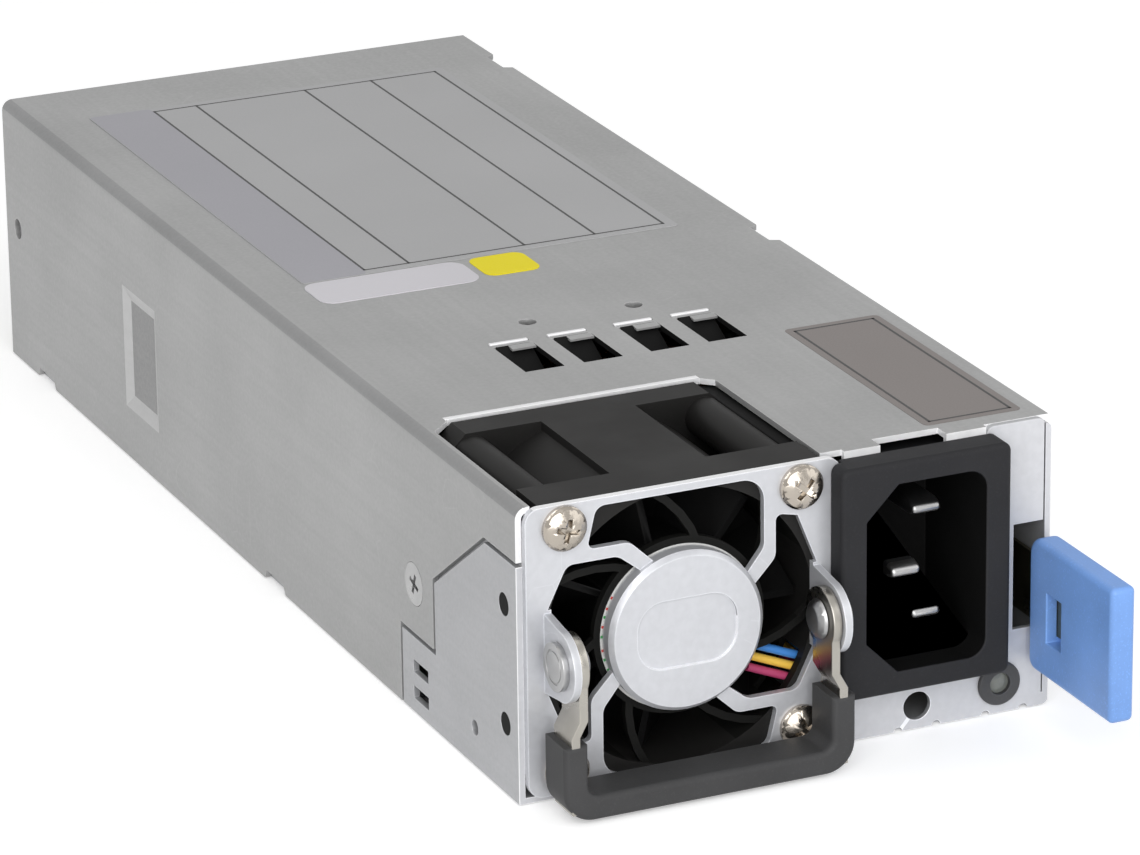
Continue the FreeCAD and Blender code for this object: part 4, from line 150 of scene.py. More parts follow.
def bar(middle: Triple, size: Triple, turn: Triple = (0.0, 0.0, 0.0)) -> bpy.types.Object:
    """Add a box from millimetres, Y counted behind the case's front face.

    Args:
        middle: its middle.
        size: its three lengths.
        turn: its rotation about X, Y and Z in degrees.

    Returns:
        The box, with its size and rotation applied.
    """
    deselect()
    bpy.ops.mesh.primitive_cube_add(size=1.0, location=spot(middle))
    box = bpy.context.object
    box.scale = tuple(length * MM for length in size)
    box.rotation_euler = tuple(math.radians(angle) for angle in turn)
    bpy.ops.object.transform_apply(location=False, rotation=True, scale=True)
    return box


def slab(left: float, right: float, front: float, rear: float, low: float,
         high: float) -> bpy.types.Object:
    """Add a level box between its six sides, in millimetres like bar()."""
    return bar(((left + right) / 2, (front + rear) / 2, (low + high) / 2),
               (right - left, rear - front, high - low))


def spot(point: Triple) -> Triple:
    """Turn millimetres, with Y behind the case's front face, into a place in metres."""
    return (point[0] * MM, (FRONT + point[1]) * MM, point[2] * MM)


def join(pieces: list[bpy.types.Object], name: str) -> bpy.types.Object:
    """Join pieces into one and settle it.

    Args:
        pieces: the objects to join.
        name: the name of the result.

    Returns:
        The joined piece.
    """
    deselect()
    for piece in pieces:
        piece.select_set(True)
    bpy.context.view_layer.objects.active = pieces[0]
    bpy.ops.object.join()
    return settle(pieces[0], name)


def body_name(node: str) -> str:
    """Return the name of the body that a node belongs to."""
    for body, members in frame["record"]["behaviour"]["bodies"].items():
        if node in members:
            return body
    raise KeyError(node)


def tinted(color: Triple, factor: float) -> tuple[float, ...]:
    """Return a colour made darker or lighter by a factor, no brighter than white."""
    return tuple(min(1.0, channel * factor) for channel in color)


# -------------------------------------------------- shader groups
def plug(tree: bpy.types.NodeTree, value, socket: bpy.types.NodeSocket) -> None:
    """Link a socket to another, or set it to a plain value."""
    if isinstance(value, bpy.types.NodeSocket):
        tree.links.new(value, socket)
    else:
        socket.default_value = value


def calculate(tree: bpy.types.NodeTree, operation: str, *values, kind: str = "ShaderNodeMath",
              result: int = 0) -> bpy.types.NodeSocket:
    """Add a maths node.

    Args:
        tree: the node tree it goes into.
        operation: what it works out.
        values: what goes into its sockets in order, each a socket or a plain value.
        kind: the node's type, for numbers or for vectors.
        result: which of its outputs to return.

    Returns:
        The chosen output.
    """
    node = tree.nodes.new(kind)
    node.operation = operation
    for value, socket in zip(values, node.inputs):
        plug(tree, value, socket)
    return node.outputs[result]


def noise(tree: bpy.types.NodeTree, vector: bpy.types.NodeSocket, scale,
          detail: float = 2.0) -> bpy.types.Node:
    """Add a noise texture, with its scale a socket or a plain value."""
    node = tree.nodes.new("ShaderNodeTexNoise")
    node.inputs["Detail"].default_value = detail
    plug(tree, vector, node.inputs["Vector"])
    plug(tree, scale, node.inputs["Scale"])
    return node


class Groups:
    """Shader node groups that several finishes share, each built once."""

    def start(self, name: str, inputs: dict[str, float], outputs: list[str]) -> bpy.types.NodeTree:
        """Make an empty group with float sockets.

        Args:
            name: the group's name.
            inputs: socket names and default values.
            outputs: the names of the outgoing masks.

        Returns:
            The node tree, with its group input and output nodes.
        """
        tree = bpy.data.node_groups.new(name, "ShaderNodeTree")
        tree.interface.new_socket(name="Vector", in_out="INPUT", socket_type="NodeSocketVector")
        for socket, value in inputs.items():
            made = tree.interface.new_socket(name=socket, in_out="INPUT", socket_type="NodeSocketFloat")
            made.default_value = value
        for socket in outputs:
            tree.interface.new_socket(name=socket, in_out="OUTPUT", socket_type="NodeSocketFloat")
        tree.nodes.new("NodeGroupInput").name = "in"
        tree.nodes.new("NodeGroupOutput").name = "out"
        return tree

    @cache
    def grain(self) -> bpy.types.NodeTree:
        """Fine even speckle with a slower cloud under it."""
        tree = self.start("grain", {"Fine": 2500.0, "Cloud": 60.0}, ["Speckle", "Cloudy"])
        given, found = tree.nodes["in"].outputs, tree.nodes["out"].inputs
        for source, detail, result in (("Fine", 2.0, "Speckle"), ("Cloud", 4.0, "Cloudy")):
            texture = noise(tree, given["Vector"], given[source], detail)
            tree.links.new(texture.outputs["Fac"], found[result])
        return tree

    @cache
    def rolling(self) -> bpy.types.NodeTree:
        """Long faint streaks along one direction, as left by rolling and drawing sheet."""
        tree = self.start("rolling", {"Along": 12.0, "Across": 900.0}, ["Streak"])
        given = tree.nodes["in"].outputs
        combine = tree.nodes.new("ShaderNodeCombineXYZ")
        for axis, source in (("X", "Across"), ("Y", "Along"), ("Z", "Across")):
            tree.links.new(given[source], combine.inputs[axis])
        stretched = calculate(tree, "MULTIPLY", given["Vector"], combine.outputs["Vector"],
                              kind="ShaderNodeVectorMath")
        texture = noise(tree, stretched, 1.0, 3.0)
        tree.links.new(texture.outputs["Fac"], tree.nodes["out"].inputs["Streak"])
        return tree

    @cache
    def scuffs(self) -> bpy.types.NodeTree:
        """A few thin scratches in turned directions."""
        tree = self.start("scuffs", {"Scale": 140.0, "Width": 0.012}, ["Scratch"])
        given = tree.nodes["in"].outputs
        bend = noise(tree, given["Vector"], 25.0)
        bent = calculate(tree, "MULTIPLY_ADD", bend.outputs["Color"], (0.05, 0.05, 0.05),
                         given["Vector"], kind="ShaderNodeVectorMath")
        cells = tree.nodes.new("ShaderNodeTexVoronoi")
        cells.feature = "DISTANCE_TO_EDGE"
        tree.links.new(bent, cells.inputs["Vector"])
        tree.links.new(given["Scale"], cells.inputs["Scale"])
        thin = calculate(tree, "LESS_THAN", cells.outputs["Distance"], given["Width"])
        patch = noise(tree, given["Vector"], 70.0)
        kept = calculate(tree, "GREATER_THAN", patch.outputs["Fac"], 0.62)
        tree.links.new(calculate(tree, "MULTIPLY", thin, kept), tree.nodes["out"].inputs["Scratch"])
        return tree

    @cache
    def edges(self) -> bpy.types.NodeTree:
        """Mask of convex and concave edges within a small distance."""
        tree = self.start("edges", {"Reach": 0.0003, "Sharpness": 6.0}, ["Edge"])
        given = tree.nodes["in"].outputs
        rounded = tree.nodes.new("ShaderNodeBevel")
        rounded.samples = 4
        tree.links.new(given["Reach"], rounded.inputs["Radius"])
        plain = tree.nodes.new("ShaderNodeNewGeometry")
        along = calculate(tree, "DOT_PRODUCT", rounded.outputs["Normal"], plain.outputs["Normal"],
                          kind="ShaderNodeVectorMath", result=1)
        away = calculate(tree, "SUBTRACT", 1.0, along)
        edge = calculate(tree, "MULTIPLY", away, given["Sharpness"])
        edge.node.use_clamp = True
        tree.links.new(edge, tree.nodes["out"].inputs["Edge"])
        return tree


GROUPS = Groups()


# -------------------------------------------------- finishes
class Shader:
    """Wires one material."""

    def __init__(self, name: str) -> None:
        """Start a material with its Principled shader and object coordinates."""
        self.material = bpy.data.materials.new(name)
        self.material.use_nodes = True
        self.tree = self.material.node_tree
        self.principled = self.tree.nodes["Principled BSDF"]
        self.coordinates = self.tree.nodes.new("ShaderNodeTexCoord")

    def group(self, tree: bpy.types.NodeTree, **values: float) -> bpy.types.Node:
        """Place a group, fed by object coordinates, with its own values."""
        node = self.tree.nodes.new("ShaderNodeGroup")
        node.node_tree = tree
        self.tree.links.new(self.coordinates.outputs["Object"], node.inputs["Vector"])
        for key, value in values.items():
            node.inputs[key].default_value = value
        return node

    def ramp(self, source: bpy.types.NodeSocket, low: float, high: float, first: float,
             last: float) -> bpy.types.NodeSocket:
        """Map a mask from one range to another.

        Args:
            source: the mask.
            low, high: the range of the mask that counts.
            first, last: the values at its ends.

        Returns:
            The mapped value.
        """
        node = self.tree.nodes.new("ShaderNodeMapRange")
        for key, value in (("From Min", low), ("From Max", high), ("To Min", first), ("To Max", last)):
            node.inputs[key].default_value = value
        self.tree.links.new(source, node.inputs["Value"])
        return node.outputs["Result"]

    def mix(self, mask: bpy.types.NodeSocket, first, second) -> bpy.types.NodeSocket:
        """Mix two colours, each a socket or a plain colour, by a mask."""
        node = self.tree.nodes.new("ShaderNodeMix")
        node.data_type = "RGBA"
        self.tree.links.new(mask, node.inputs[0])
        for socket, value in ((node.inputs[6], first), (node.inputs[7], second)):
            plain = not isinstance(value, bpy.types.NodeSocket)
            plug(self.tree, (*value, 1.0) if plain else value, socket)
        return node.outputs[2]

    def clouded(self, grain: bpy.types.Node, first, second) -> bpy.types.NodeSocket:
        """Mix two colours by the slow cloud of a grain group."""
        return self.mix(self.ramp(grain.outputs["Cloudy"], *MIDDLE_RANGE, 0.0, 1.0), first, second)

    def roughen(self, mask: bpy.types.NodeSocket, low: float, high: float) -> None:
        """Let a mask move the roughness between two values."""
        self.feed("Roughness", self.ramp(mask, *MIDDLE_RANGE, low, high))

    def bump(self, height: bpy.types.NodeSocket, distance: float, strength: float = 1.0,
             under: bpy.types.NodeSocket | None = None) -> bpy.types.NodeSocket:
        """Turn a height into a normal."""
        node = self.tree.nodes.new("ShaderNodeBump")
        node.inputs["Distance"].default_value = distance
        node.inputs["Strength"].default_value = strength
        self.tree.links.new(height, node.inputs["Height"])
        if under is not None:
            self.tree.links.new(under, node.inputs["Normal"])
        return node.outputs["Normal"]

    def feed(self, name: str, source: bpy.types.NodeSocket) -> None:
        """Feed one of the Principled shader's sockets."""
        self.tree.links.new(source, self.principled.inputs[name])

    def constant(self, name: str, value: float) -> None:
        """Set one of the Principled shader's sockets."""
        self.principled.inputs[name].default_value = value


@dataclass(frozen=True)
class SheetFinish:
    """Rolled, galvanised or stamped sheet: streaks, clouding, fine grain, edges lightened by wear and
    by painted highlight.
    """

    name: str
    color: Triple
    metallic: float = 0.55
    roughness: float = 0.42
    streak: float = 0.06
    cloud: float = 0.08
    edge: float = 0.5

    def make(self) -> bpy.types.Material:
        """Build the material."""
        shader = Shader(self.name)
        grain = shader.group(GROUPS.grain(), Fine=1800.0, Cloud=45.0)
        rolling = shader.group(GROUPS.rolling())
        scuffs = shader.group(GROUPS.scuffs())
        edges = shader.group(GROUPS.edges())
        dark = tinted(self.color, 1 - self.cloud)
        light = tinted(self.color, 1 + self.cloud)
        base = shader.clouded(grain, dark, light)
        streaked = shader.mix(shader.ramp(rolling.outputs["Streak"], 0.35, 0.65, 0.0, self.streak * 4),
                              base, tinted(self.color, 0.8))
        scratched = shader.mix(shader.ramp(scuffs.outputs["Scratch"], 0.0, 1.0, 0.0, 0.16), streaked,
                               tinted(self.color, 1.35))
        # Edges are lightened, partly as wear and partly as painted highlight.
        worn_and_highlit = shader.mix(shader.ramp(edges.outputs["Edge"], 0.0, 1.0, 0.0, self.edge), scratched,
                          tinted(self.color, 1.5))
        shader.feed("Base Color", worn_and_highlit)
        shader.roughen(grain.outputs["Speckle"], self.roughness - 0.06, self.roughness + 0.08)
        shader.constant("Metallic", self.metallic)
        fine = shader.bump(grain.outputs["Speckle"], FINE_BUMP, 0.35)
        shader.feed("Normal", shader.bump(rolling.outputs["Streak"], FINE_BUMP, 0.25, fine))
        return shader.material


@dataclass(frozen=True)
class PlatingFinish:
    """Bright plating with faint haze and small handling marks."""

    name: str
    color: Triple
    roughness: float = 0.16
    metallic: float = 1.0

    def make(self) -> bpy.types.Material:
        """Build the material."""
        shader = Shader(self.name)
        grain = shader.group(GROUPS.grain(), Fine=900.0, Cloud=160.0)
        scuffs = shader.group(GROUPS.scuffs(), Scale=420.0, Width=0.02)
        haze = tinted(self.color, 0.86)
        base = shader.mix(shader.ramp(grain.outputs["Cloudy"], 0.35, 0.7, 0.0, 1.0), self.color, haze)
        shader.feed("Base Color", base)
        shader.roughen(grain.outputs["Cloudy"], self.roughness * 0.8, self.roughness * 1.5)
        shader.constant("Metallic", self.metallic)
        shader.feed("Normal", shader.bump(scuffs.outputs["Scratch"], FINE_BUMP, 0.2))
        return shader.material


@dataclass(frozen=True)
class MouldingFinish:
    """Moulded plastic with a fine spark-eroded texture and paler edges, partly from rubbing wear and
    partly painted highlight.
    """

    name: str
    color: Triple
    roughness: float = 0.5
    texture: float = 0.4
    edge: float = 0.25
    edge_gain: float = 2.2
    sheen: float = 0.0
    specular: float = 0.35

    def make(self) -> bpy.types.Material:
        """Build the material."""
        shader = Shader(self.name)
        grain = shader.group(GROUPS.grain(), Fine=3500.0, Cloud=90.0)
        edges = shader.group(GROUPS.edges(), Reach=0.00035)
        dark = tinted(self.color, 0.88)
        light = tinted(self.color, 1.12)
        base = shader.clouded(grain, dark, light)
        flecked = shader.mix(shader.ramp(grain.outputs["Speckle"], 0.58, 0.75, 0.0, 0.5), base,
                             tinted(self.color, 1.4))
        # Edges are lightened, partly as rubbing wear and partly as painted highlight.
        rubbed_and_highlit = shader.mix(shader.ramp(edges.outputs["Edge"], 0.0, 1.0, 0.0, self.edge), flecked,
                            tinted(self.color, self.edge_gain))
        shader.feed("Base Color", rubbed_and_highlit)
        shader.roughen(grain.outputs["Cloudy"], self.roughness - 0.05, self.roughness + 0.07)
        shader.feed("Normal", shader.bump(grain.outputs["Speckle"], 0.00002, self.texture))
        shader.constant("Specular IOR Level", self.specular)
        if self.sheen:
            shader.constant("Coat Weight", self.sheen)
            shader.constant("Coat Roughness", 0.25)
        return shader.material


@dataclass(frozen=True)
class PaperFinish:
    """Printed label stock: faint fibre, satin film over it."""

    name: str
    color: Triple
    roughness: float = 0.45
    specular: float = 0.3

    def make(self) -> bpy.types.Material:
        """Build the material."""
        shader = Shader(self.name)
        grain = shader.group(GROUPS.grain(), Fine=4200.0, Cloud=35.0)
        dark = tinted(self.color, 0.95)
        base = shader.clouded(grain, dark, self.color)
        shader.feed("Base Color", base)
        shader.roughen(grain.outputs["Speckle"], self.roughness - 0.05, self.roughness + 0.05)
        shader.feed("Normal", shader.bump(grain.outputs["Cloudy"], 0.00003, 0.3))
        shader.constant("Specular IOR Level", self.specular)
        return shader.material


@dataclass(frozen=True)
class CoilFinish:
    """Enamelled wire: turns side by side round a core."""

    name: str
    color: Triple
    pitch: float = 900.0

    def make(self) -> bpy.types.Material:
        """Build the material."""
        shader = Shader(self.name)
        grain = shader.group(GROUPS.grain(), Fine=700.0, Cloud=120.0)
        rolling = shader.group(GROUPS.rolling(), Along=8.0, Across=self.pitch)
        dark = tinted(self.color, 0.55)
        base = shader.mix(shader.ramp(rolling.outputs["Streak"], 0.4, 0.6, 0.0, 1.0), dark, self.color)
        varied = shader.mix(shader.ramp(grain.outputs["Cloudy"], 0.3, 0.7, 0.0, 0.3), base, dark)
        shader.feed("Base Color", varied)
        shader.roughen(grain.outputs["Speckle"], 0.25, 0.4)
        shader.feed("Normal", shader.bump(rolling.outputs["Streak"], 0.0001, 0.5))
        return shader.material


@dataclass(frozen=True)
class BandFinish:
    """Insulation whose colour changes from wire to wire across their sloping rows."""

    name: str
    colors: tuple[Triple, ...]
    levels: tuple[float, ...]
    slope: float
    roughness: float = 0.4

    def make(self) -> bpy.types.Material:
        """Build the material."""
        shader = Shader(self.name)
        split = shader.tree.nodes.new("ShaderNodeSeparateXYZ")
        shader.tree.links.new(shader.coordinates.outputs["Object"], split.inputs[0])
        row = calculate(shader.tree, "MULTIPLY_ADD", split.outputs["X"], self.slope, split.outputs["Z"])
        color: object = self.colors[0]
        for level, following in zip(self.levels, self.colors[1:]):
            above = shader.ramp(row, level, level + STEP, 0.0, 1.0)
            color = shader.mix(above, color, following)
        grain = shader.group(GROUPS.grain(), Fine=2000.0, Cloud=200.0)
        shader.feed("Base Color", color)
        shader.roughen(grain.outputs["Cloudy"], self.roughness - 0.08, self.roughness + 0.08)
        return shader.material


@dataclass(frozen=True)
class LensFinish:
    """Smoked clear plastic."""

    name: str
    color: Triple

    def make(self) -> bpy.types.Material:
        """Build the material."""
        shader = Shader(self.name)
        grain = shader.group(GROUPS.grain(), Fine=1200.0, Cloud=300.0)
        base = shader.clouded(grain, self.color,
                          tinted(self.color, 0.8))
        shader.feed("Base Color", base)
        shader.constant("Roughness", 0.12)
        shader.constant("Transmission Weight", 0.6)
        shader.constant("IOR", 1.5)
        return shader.material


class Finish(Enum):
    """Every finish on the module."""

    ZINC = SheetFinish("cover_zinc", (0.375, 0.376, 0.375), metallic=0.4)
    # Painted shade: a darker copy of the cover's zinc along its bends.
    BEND = SheetFinish("bend_painted_shade", (0.29, 0.291, 0.292), metallic=0.4)
    # Painted shade on the dent's floor and painted highlight on its slopes.
    DENT_FLOOR = SheetFinish("dent_floor_painted_shade", (0.27, 0.27, 0.27), metallic=0.4)
    DENT_SLOPE = SheetFinish("dent_slope", (0.52, 0.52, 0.52), metallic=0.3)
    # Painted highlight: a bright copy of the sheet for edges that catch the light.
    CUT_EDGE = SheetFinish("painted_edge_highlight", (0.88, 0.88, 0.89), metallic=0.25, roughness=0.35)
    PANEL = SheetFinish("bright_zinc", (0.43, 0.434, 0.447), metallic=0.4)
    # Painted light: brighter copies of the chassis sheet for its front face and, brightest, its low
    # front lip.
    FACE = SheetFinish("front_sheet_painted_light", (0.56, 0.564, 0.585), metallic=0.3)
    FACE_LOW = SheetFinish("front_lip_painted_light", (0.88, 0.885, 0.91), metallic=0.3)
    # A strong edge mix: the guard's edges are lightened by wear and by painted highlight.
    GUARD = SheetFinish("stamped_steel", (0.55, 0.558, 0.585), metallic=0.4, edge=0.9,
                        roughness=0.36, cloud=0.04)
    # Painted shade on the hub groove's upper side and painted highlight on its lower side.
    GROOVE_DARK = SheetFinish("groove_painted_shade", (0.34, 0.345, 0.36), metallic=0.3, edge=0.1)
    GROOVE_LIGHT = SheetFinish("groove_painted_highlight", (0.90, 0.90, 0.92), metallic=0.2, edge=0.1)
    NICKEL = PlatingFinish("nickel_plate", (0.46, 0.415, 0.36), roughness=0.2)
    STRAP = PlatingFinish("bright_strip", (0.43, 0.41, 0.37), roughness=0.26)
    TIN = PlatingFinish("tin_plate", (0.44, 0.44, 0.44), roughness=0.3)
    # Painted shade: a darker copy of the pins' plating for their bodies inside the socket; their end
    # faces keep the tin.
    PIN = PlatingFinish("pin_painted_shade", (0.17, 0.17, 0.175), roughness=0.34)
    SPRING = PlatingFinish("spring_strip", (0.26, 0.24, 0.17), roughness=0.34)
    GRIP = MouldingFinish("grip_moulding", (0.050, 0.050, 0.051), roughness=0.5, specular=0.14)
    BEZEL = MouldingFinish("inlet_moulding", (0.023, 0.023, 0.025), roughness=0.6, specular=0.12)
    # Painted shade: a darker copy of the fan's moulding for its inside.
    FAN_DEEP = MouldingFinish("fan_inside_painted_shade", (0.006, 0.006, 0.0055), roughness=0.6, specular=0.12)
    FAN = MouldingFinish("fan_moulding", (0.013, 0.0125, 0.012), roughness=0.5, specular=0.15)
    ROTOR = MouldingFinish("rotor_moulding", (0.004, 0.004, 0.004), roughness=0.5, specular=0.10)
    # Near-black painted shade: on the insides of the louvres and the socket, on the guard flange behind
    # the wing's holes, and on the block beside the fan.
    HOLLOW = MouldingFinish("painted_shade_moulding", (0.006, 0.006, 0.006), roughness=0.6, specular=0.08)
    BLUE = MouldingFinish("tab_moulding", (0.17, 0.33, 0.70), roughness=0.42, texture=0.25,
                          edge=0.3, edge_gain=1.5, sheen=0.15)
    LAMP = MouldingFinish("lamp_moulding", (0.05, 0.05, 0.052), roughness=0.48)
    LENS = LensFinish("lamp_lens", (0.42, 0.44, 0.40))
    BOARD = MouldingFinish("solder_mask", (0.02, 0.13, 0.06), roughness=0.3, texture=0.1, sheen=0.3)
    GOLD = PlatingFinish("gold_contacts", (0.83, 0.62, 0.25), roughness=0.22)
    FILM = PaperFinish("insulating_film", (0.62, 0.60, 0.54))
    FERRITE = MouldingFinish("ferrite_core", (0.05, 0.05, 0.05), roughness=0.6)
    COPPER = CoilFinish("enamelled_copper", (0.55, 0.22, 0.07))
    TAPE = CoilFinish("yellow_tape", (0.72, 0.52, 0.08), pitch=300.0)
    YELLOW = MouldingFinish("yellow_case", (0.68, 0.50, 0.08), roughness=0.35)
    DIPPED = MouldingFinish("blue_dip", (0.04, 0.12, 0.36), roughness=0.25, texture=0.1)
    SLEEVE = MouldingFinish("shrunk_sleeve", (0.02, 0.02, 0.025), roughness=0.3, texture=0.1)
    EXTRUDED = SheetFinish("extruded_aluminium", (0.62, 0.62, 0.63), metallic=0.8)
    PACKAGE = MouldingFinish("moulded_package", (0.02, 0.02, 0.02), roughness=0.6)
    CAPS = PlatingFinish("fuse_caps", (0.72, 0.72, 0.70))
    MAGNET = MouldingFinish("bonded_magnet", (0.05, 0.045, 0.042), roughness=0.6)
    WHITE = MouldingFinish("connector_white", (0.72, 0.70, 0.64), roughness=0.45, edge_gain=1.2)
    WIRES = BandFinish("lead_insulation",
                       ((0.42, 0.05, 0.14), (0.80, 0.50, 0.07), (0.05, 0.22, 0.60)),
                       (0.01068, 0.01228), 0.42)
    LABEL = PaperFinish("grey_label", (0.40, 0.40, 0.405))
    LABEL_BAND = PaperFinish("label_band", (0.355, 0.35, 0.38))
    SEAL = PaperFinish("seal_film", (0.195, 0.172, 0.163), roughness=0.35)
    WHITE_LABEL = PaperFinish("white_label", (0.63, 0.615, 0.65))
    YELLOW_LABEL = PaperFinish("yellow_label", (0.86, 0.73, 0.002), specular=0.15)
    RULE = PaperFinish("printed_rule", (0.045, 0.045, 0.045))
    HUB_LABEL = PaperFinish("hub_label", (0.60, 0.60, 0.59))
    RED_MARK = PaperFinish("red_mark", (0.55, 0.06, 0.05))
    GREEN_MARK = PaperFinish("green_mark", (0.06, 0.32, 0.10))

    @cache
    def material(self) -> bpy.types.Material:
        """Return the finish's material, built when first asked for."""
        return self.value.make()


# -------------------------------------------------- the CAD's own pieces
@dataclass(frozen=True)
class Zone:
    """A box of space, in millimetres, with Y counted behind the case's front face."""

    x: tuple[float, float]
    y: tuple[float, float]
    z: tuple[float, float]

    def holds(self, point: Vector) -> bool:
        """Tell whether a place in metres lies in the box."""
        place = (point.x / MM, point.y / MM - FRONT, point.z / MM)
        return all(low <= value <= high
                   for value, (low, high) in zip(place, (self.x, self.y, self.z)))


@dataclass(frozen=True)
class Recess:
    """A cross-shaped driver recess in the head of a screw.

    Attributes:
        middle: the middle of the head's face, in millimetres, Y behind the case's face.
        along: the screw's axis, "X" or "Y".
        turn: how far the cross is turned, in degrees.
        reach: the length of the cross from tip to tip, in millimetres.
        wide: the width of its arms.
        deep: its depth.
    """

    middle: Triple
    along: str = "Y"
    turn: float = 0.0
    reach: float = 3.0
    wide: float = 0.7
    deep: float = 0.9

    def cut(self, piece: bpy.types.Object) -> None:
        """Sink the cross into a piece, one arm pair after the other."""
        for quarter in (0.0, 90.0):
            angle = self.turn + quarter
            if self.along == "Y":
                blade = bar(self.middle, (self.reach, 2 * self.deep, self.wide), (0.0, angle, 0.0))
            else:
                blade = bar(self.middle, (2 * self.deep, self.reach, self.wide), (angle, 0.0, 0.0))
            sink = piece.modifiers.new("recess", "BOOLEAN")
            sink.operation = "DIFFERENCE"
            sink.solver = "EXACT"
            sink.object = blade
            apply_all(piece)
            only(blade)
            bpy.ops.object.delete()


@dataclass
class Skin:
    """A node shown by a merged copy of itself with its edges broken.

    Attributes:
        node: the node it stands for.
        finish: its finish.
        radius: the radius of the broken edges, in metres, or 0 for none.
        angle: the angle past which an edge counts, in degrees.
        creases: zones whose shallow edges stay crisp.
        shades: zones whose faces take another finish, for painted light and shade.
        recesses: driver recesses to sink into it.
    """

    node: str
    finish: Finish
    radius: float = 0.0
    angle: float = 35.0
    creases: tuple[Zone, ...] = ()
    shades: tuple[tuple[Zone, Finish], ...] = ()
    recesses: tuple[Recess, ...] = ()

    def build(self) -> bpy.types.Object:
        """Copy, merge and round the node's mesh.

        Returns:
            The new piece, which replaces the node.
        """
        source = frame["nodes"][self.node]
        piece = bpy.data.objects.new(self.node + "_skin", source.data.copy())
        bpy.context.scene.collection.objects.link(piece)
        only(piece)
        bpy.ops.object.mode_set(mode="EDIT")
        bpy.ops.mesh.select_all(action="SELECT")
        bpy.ops.mesh.remove_doubles(threshold=MERGE_DISTANCE)
        bpy.ops.mesh.dissolve_limited(angle_limit=math.radians(FLAT_ANGLE))
        bpy.ops.mesh.normals_make_consistent(inside=False)
        bpy.ops.object.mode_set(mode="OBJECT")
        for recess in self.recesses:
            recess.cut(piece)
        if self.radius:
            round_edges(piece, self.radius, self.angle)
        self.shade(piece)
        self.paint(piece)
        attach(piece, body_name(self.node))
        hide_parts(self.node)
        return piece

    def shade(self, piece: bpy.types.Object) -> None:
        """Smooth the rounds, keep creases, and let large faces rule the normals."""
        smooth(piece, SMOOTH_ANGLE)
        mesh = piece.data
        for edge in mesh.edges:
            middle = (mesh.vertices[edge.vertices[0]].co + mesh.vertices[edge.vertices[1]].co) / 2
            if any(zone.holds(middle) for zone in self.creases):
                edge.use_edge_sharp = True
        weighing = piece.modifiers.new("weighing", "WEIGHTED_NORMAL")
        weighing.keep_sharp = True
        weighing.weight = 100
        apply_all(piece)

    def paint(self, piece: bpy.types.Object) -> None:
        """Give the piece its finish, and its zones their painted light and shade."""
        materials = piece.data.materials
        materials.clear()
        materials.append(self.finish.material())
        for number, (zone, finish) in enumerate(self.shades, start=1):
            materials.append(finish.material())
            for face in piece.data.polygons:
                if zone.holds(face.center):
                    face.material_index = number


@dataclass
class Carried:
    """Nodes kept as they are, with a better finish."""

    finishes: dict[str, Finish]

    def dress(self) -> None:
        """Assign each node's material."""
        for node, finish in self.finishes.items():
            obj = frame["nodes"][node]
            obj.data.materials.clear()
            obj.data.materials.append(finish.material())


# -------------------------------------------------- labels
def fasten(piece: bpy.types.Object, finish: Finish) -> bpy.types.Object:
    """Give an added piece its finish and fix it to the module.

    Args:
        piece: the piece.
        finish: its finish.

    Returns:
        The same piece.
    """
    piece.data.materials.append(finish.material())
    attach(piece, "module")
    return piece


@dataclass
class Label:
    """A thin rounded plate stuck on the cover, with printed rules.

    Attributes:
        name: the piece's name.
        left, right, front, rear: its edges in millimetres, front and rear behind the case's face.
        corner, thick: its corner radius and thickness in millimetres.
        finish: its finish.
    """

    name: str
    left: float
    right: float
    front: float
    rear: float
    corner: float
    finish: Finish
    thick: float = 0.09

    def build(self, top: float) -> bpy.types.Object:
        """Model the plate on the cover's top.

        Args:
            top: the height of the cover's top in metres.

        Returns:
            The finished plate.
        """
        deselect()
        wide, deep = self.right - self.left, self.rear - self.front
        bpy.ops.mesh.primitive_plane_add(size=1.0, location=(
            (self.left + self.right) / 2 * MM, (FRONT + (self.front + self.rear) / 2) * MM, top))
        plate = bpy.context.object
        plate.scale = (wide * MM, deep * MM, 1.0)
        bpy.ops.object.transform_apply(location=False, rotation=False, scale=True)
        bpy.ops.object.mode_set(mode="EDIT")
        bpy.ops.mesh.select_all(action="SELECT")
        if self.corner:
            bpy.ops.mesh.bevel(offset=self.corner * MM, segments=6, affect="VERTICES")
            bpy.ops.mesh.select_all(action="SELECT")
        bpy.ops.mesh.extrude_region_move(
            TRANSFORM_OT_translate={"value": (0.0, 0.0, self.thick * MM)})
        bpy.ops.mesh.select_all(action="SELECT")
        bpy.ops.mesh.normals_make_consistent(inside=False)
        bpy.ops.object.mode_set(mode="OBJECT")
        settle(plate, self.name)
        smooth(plate)
        return fasten(plate, self.finish)


@dataclass
class Rules:
    """Printed lines on a label, all in one mesh.

    Attributes:
        name: the piece's name.
        lines: each as left, right, front and rear, in millimetres.
        rise: how far they stand out, in millimetres.
    """

    name: str
    lines: list[Sides]
    rise: float = 0.012

    def build(self, level: float) -> bpy.types.Object:
        """Model the lines as thin bars joined into one piece.

        Args:
            level: the height they lie on, in metres.

        Returns:
            The finished piece.
        """
        low = level / MM
        bars = [slab(*line, low, low + self.rise) for line in self.lines]
        return fasten(join(bars, self.name), Finish.RULE)


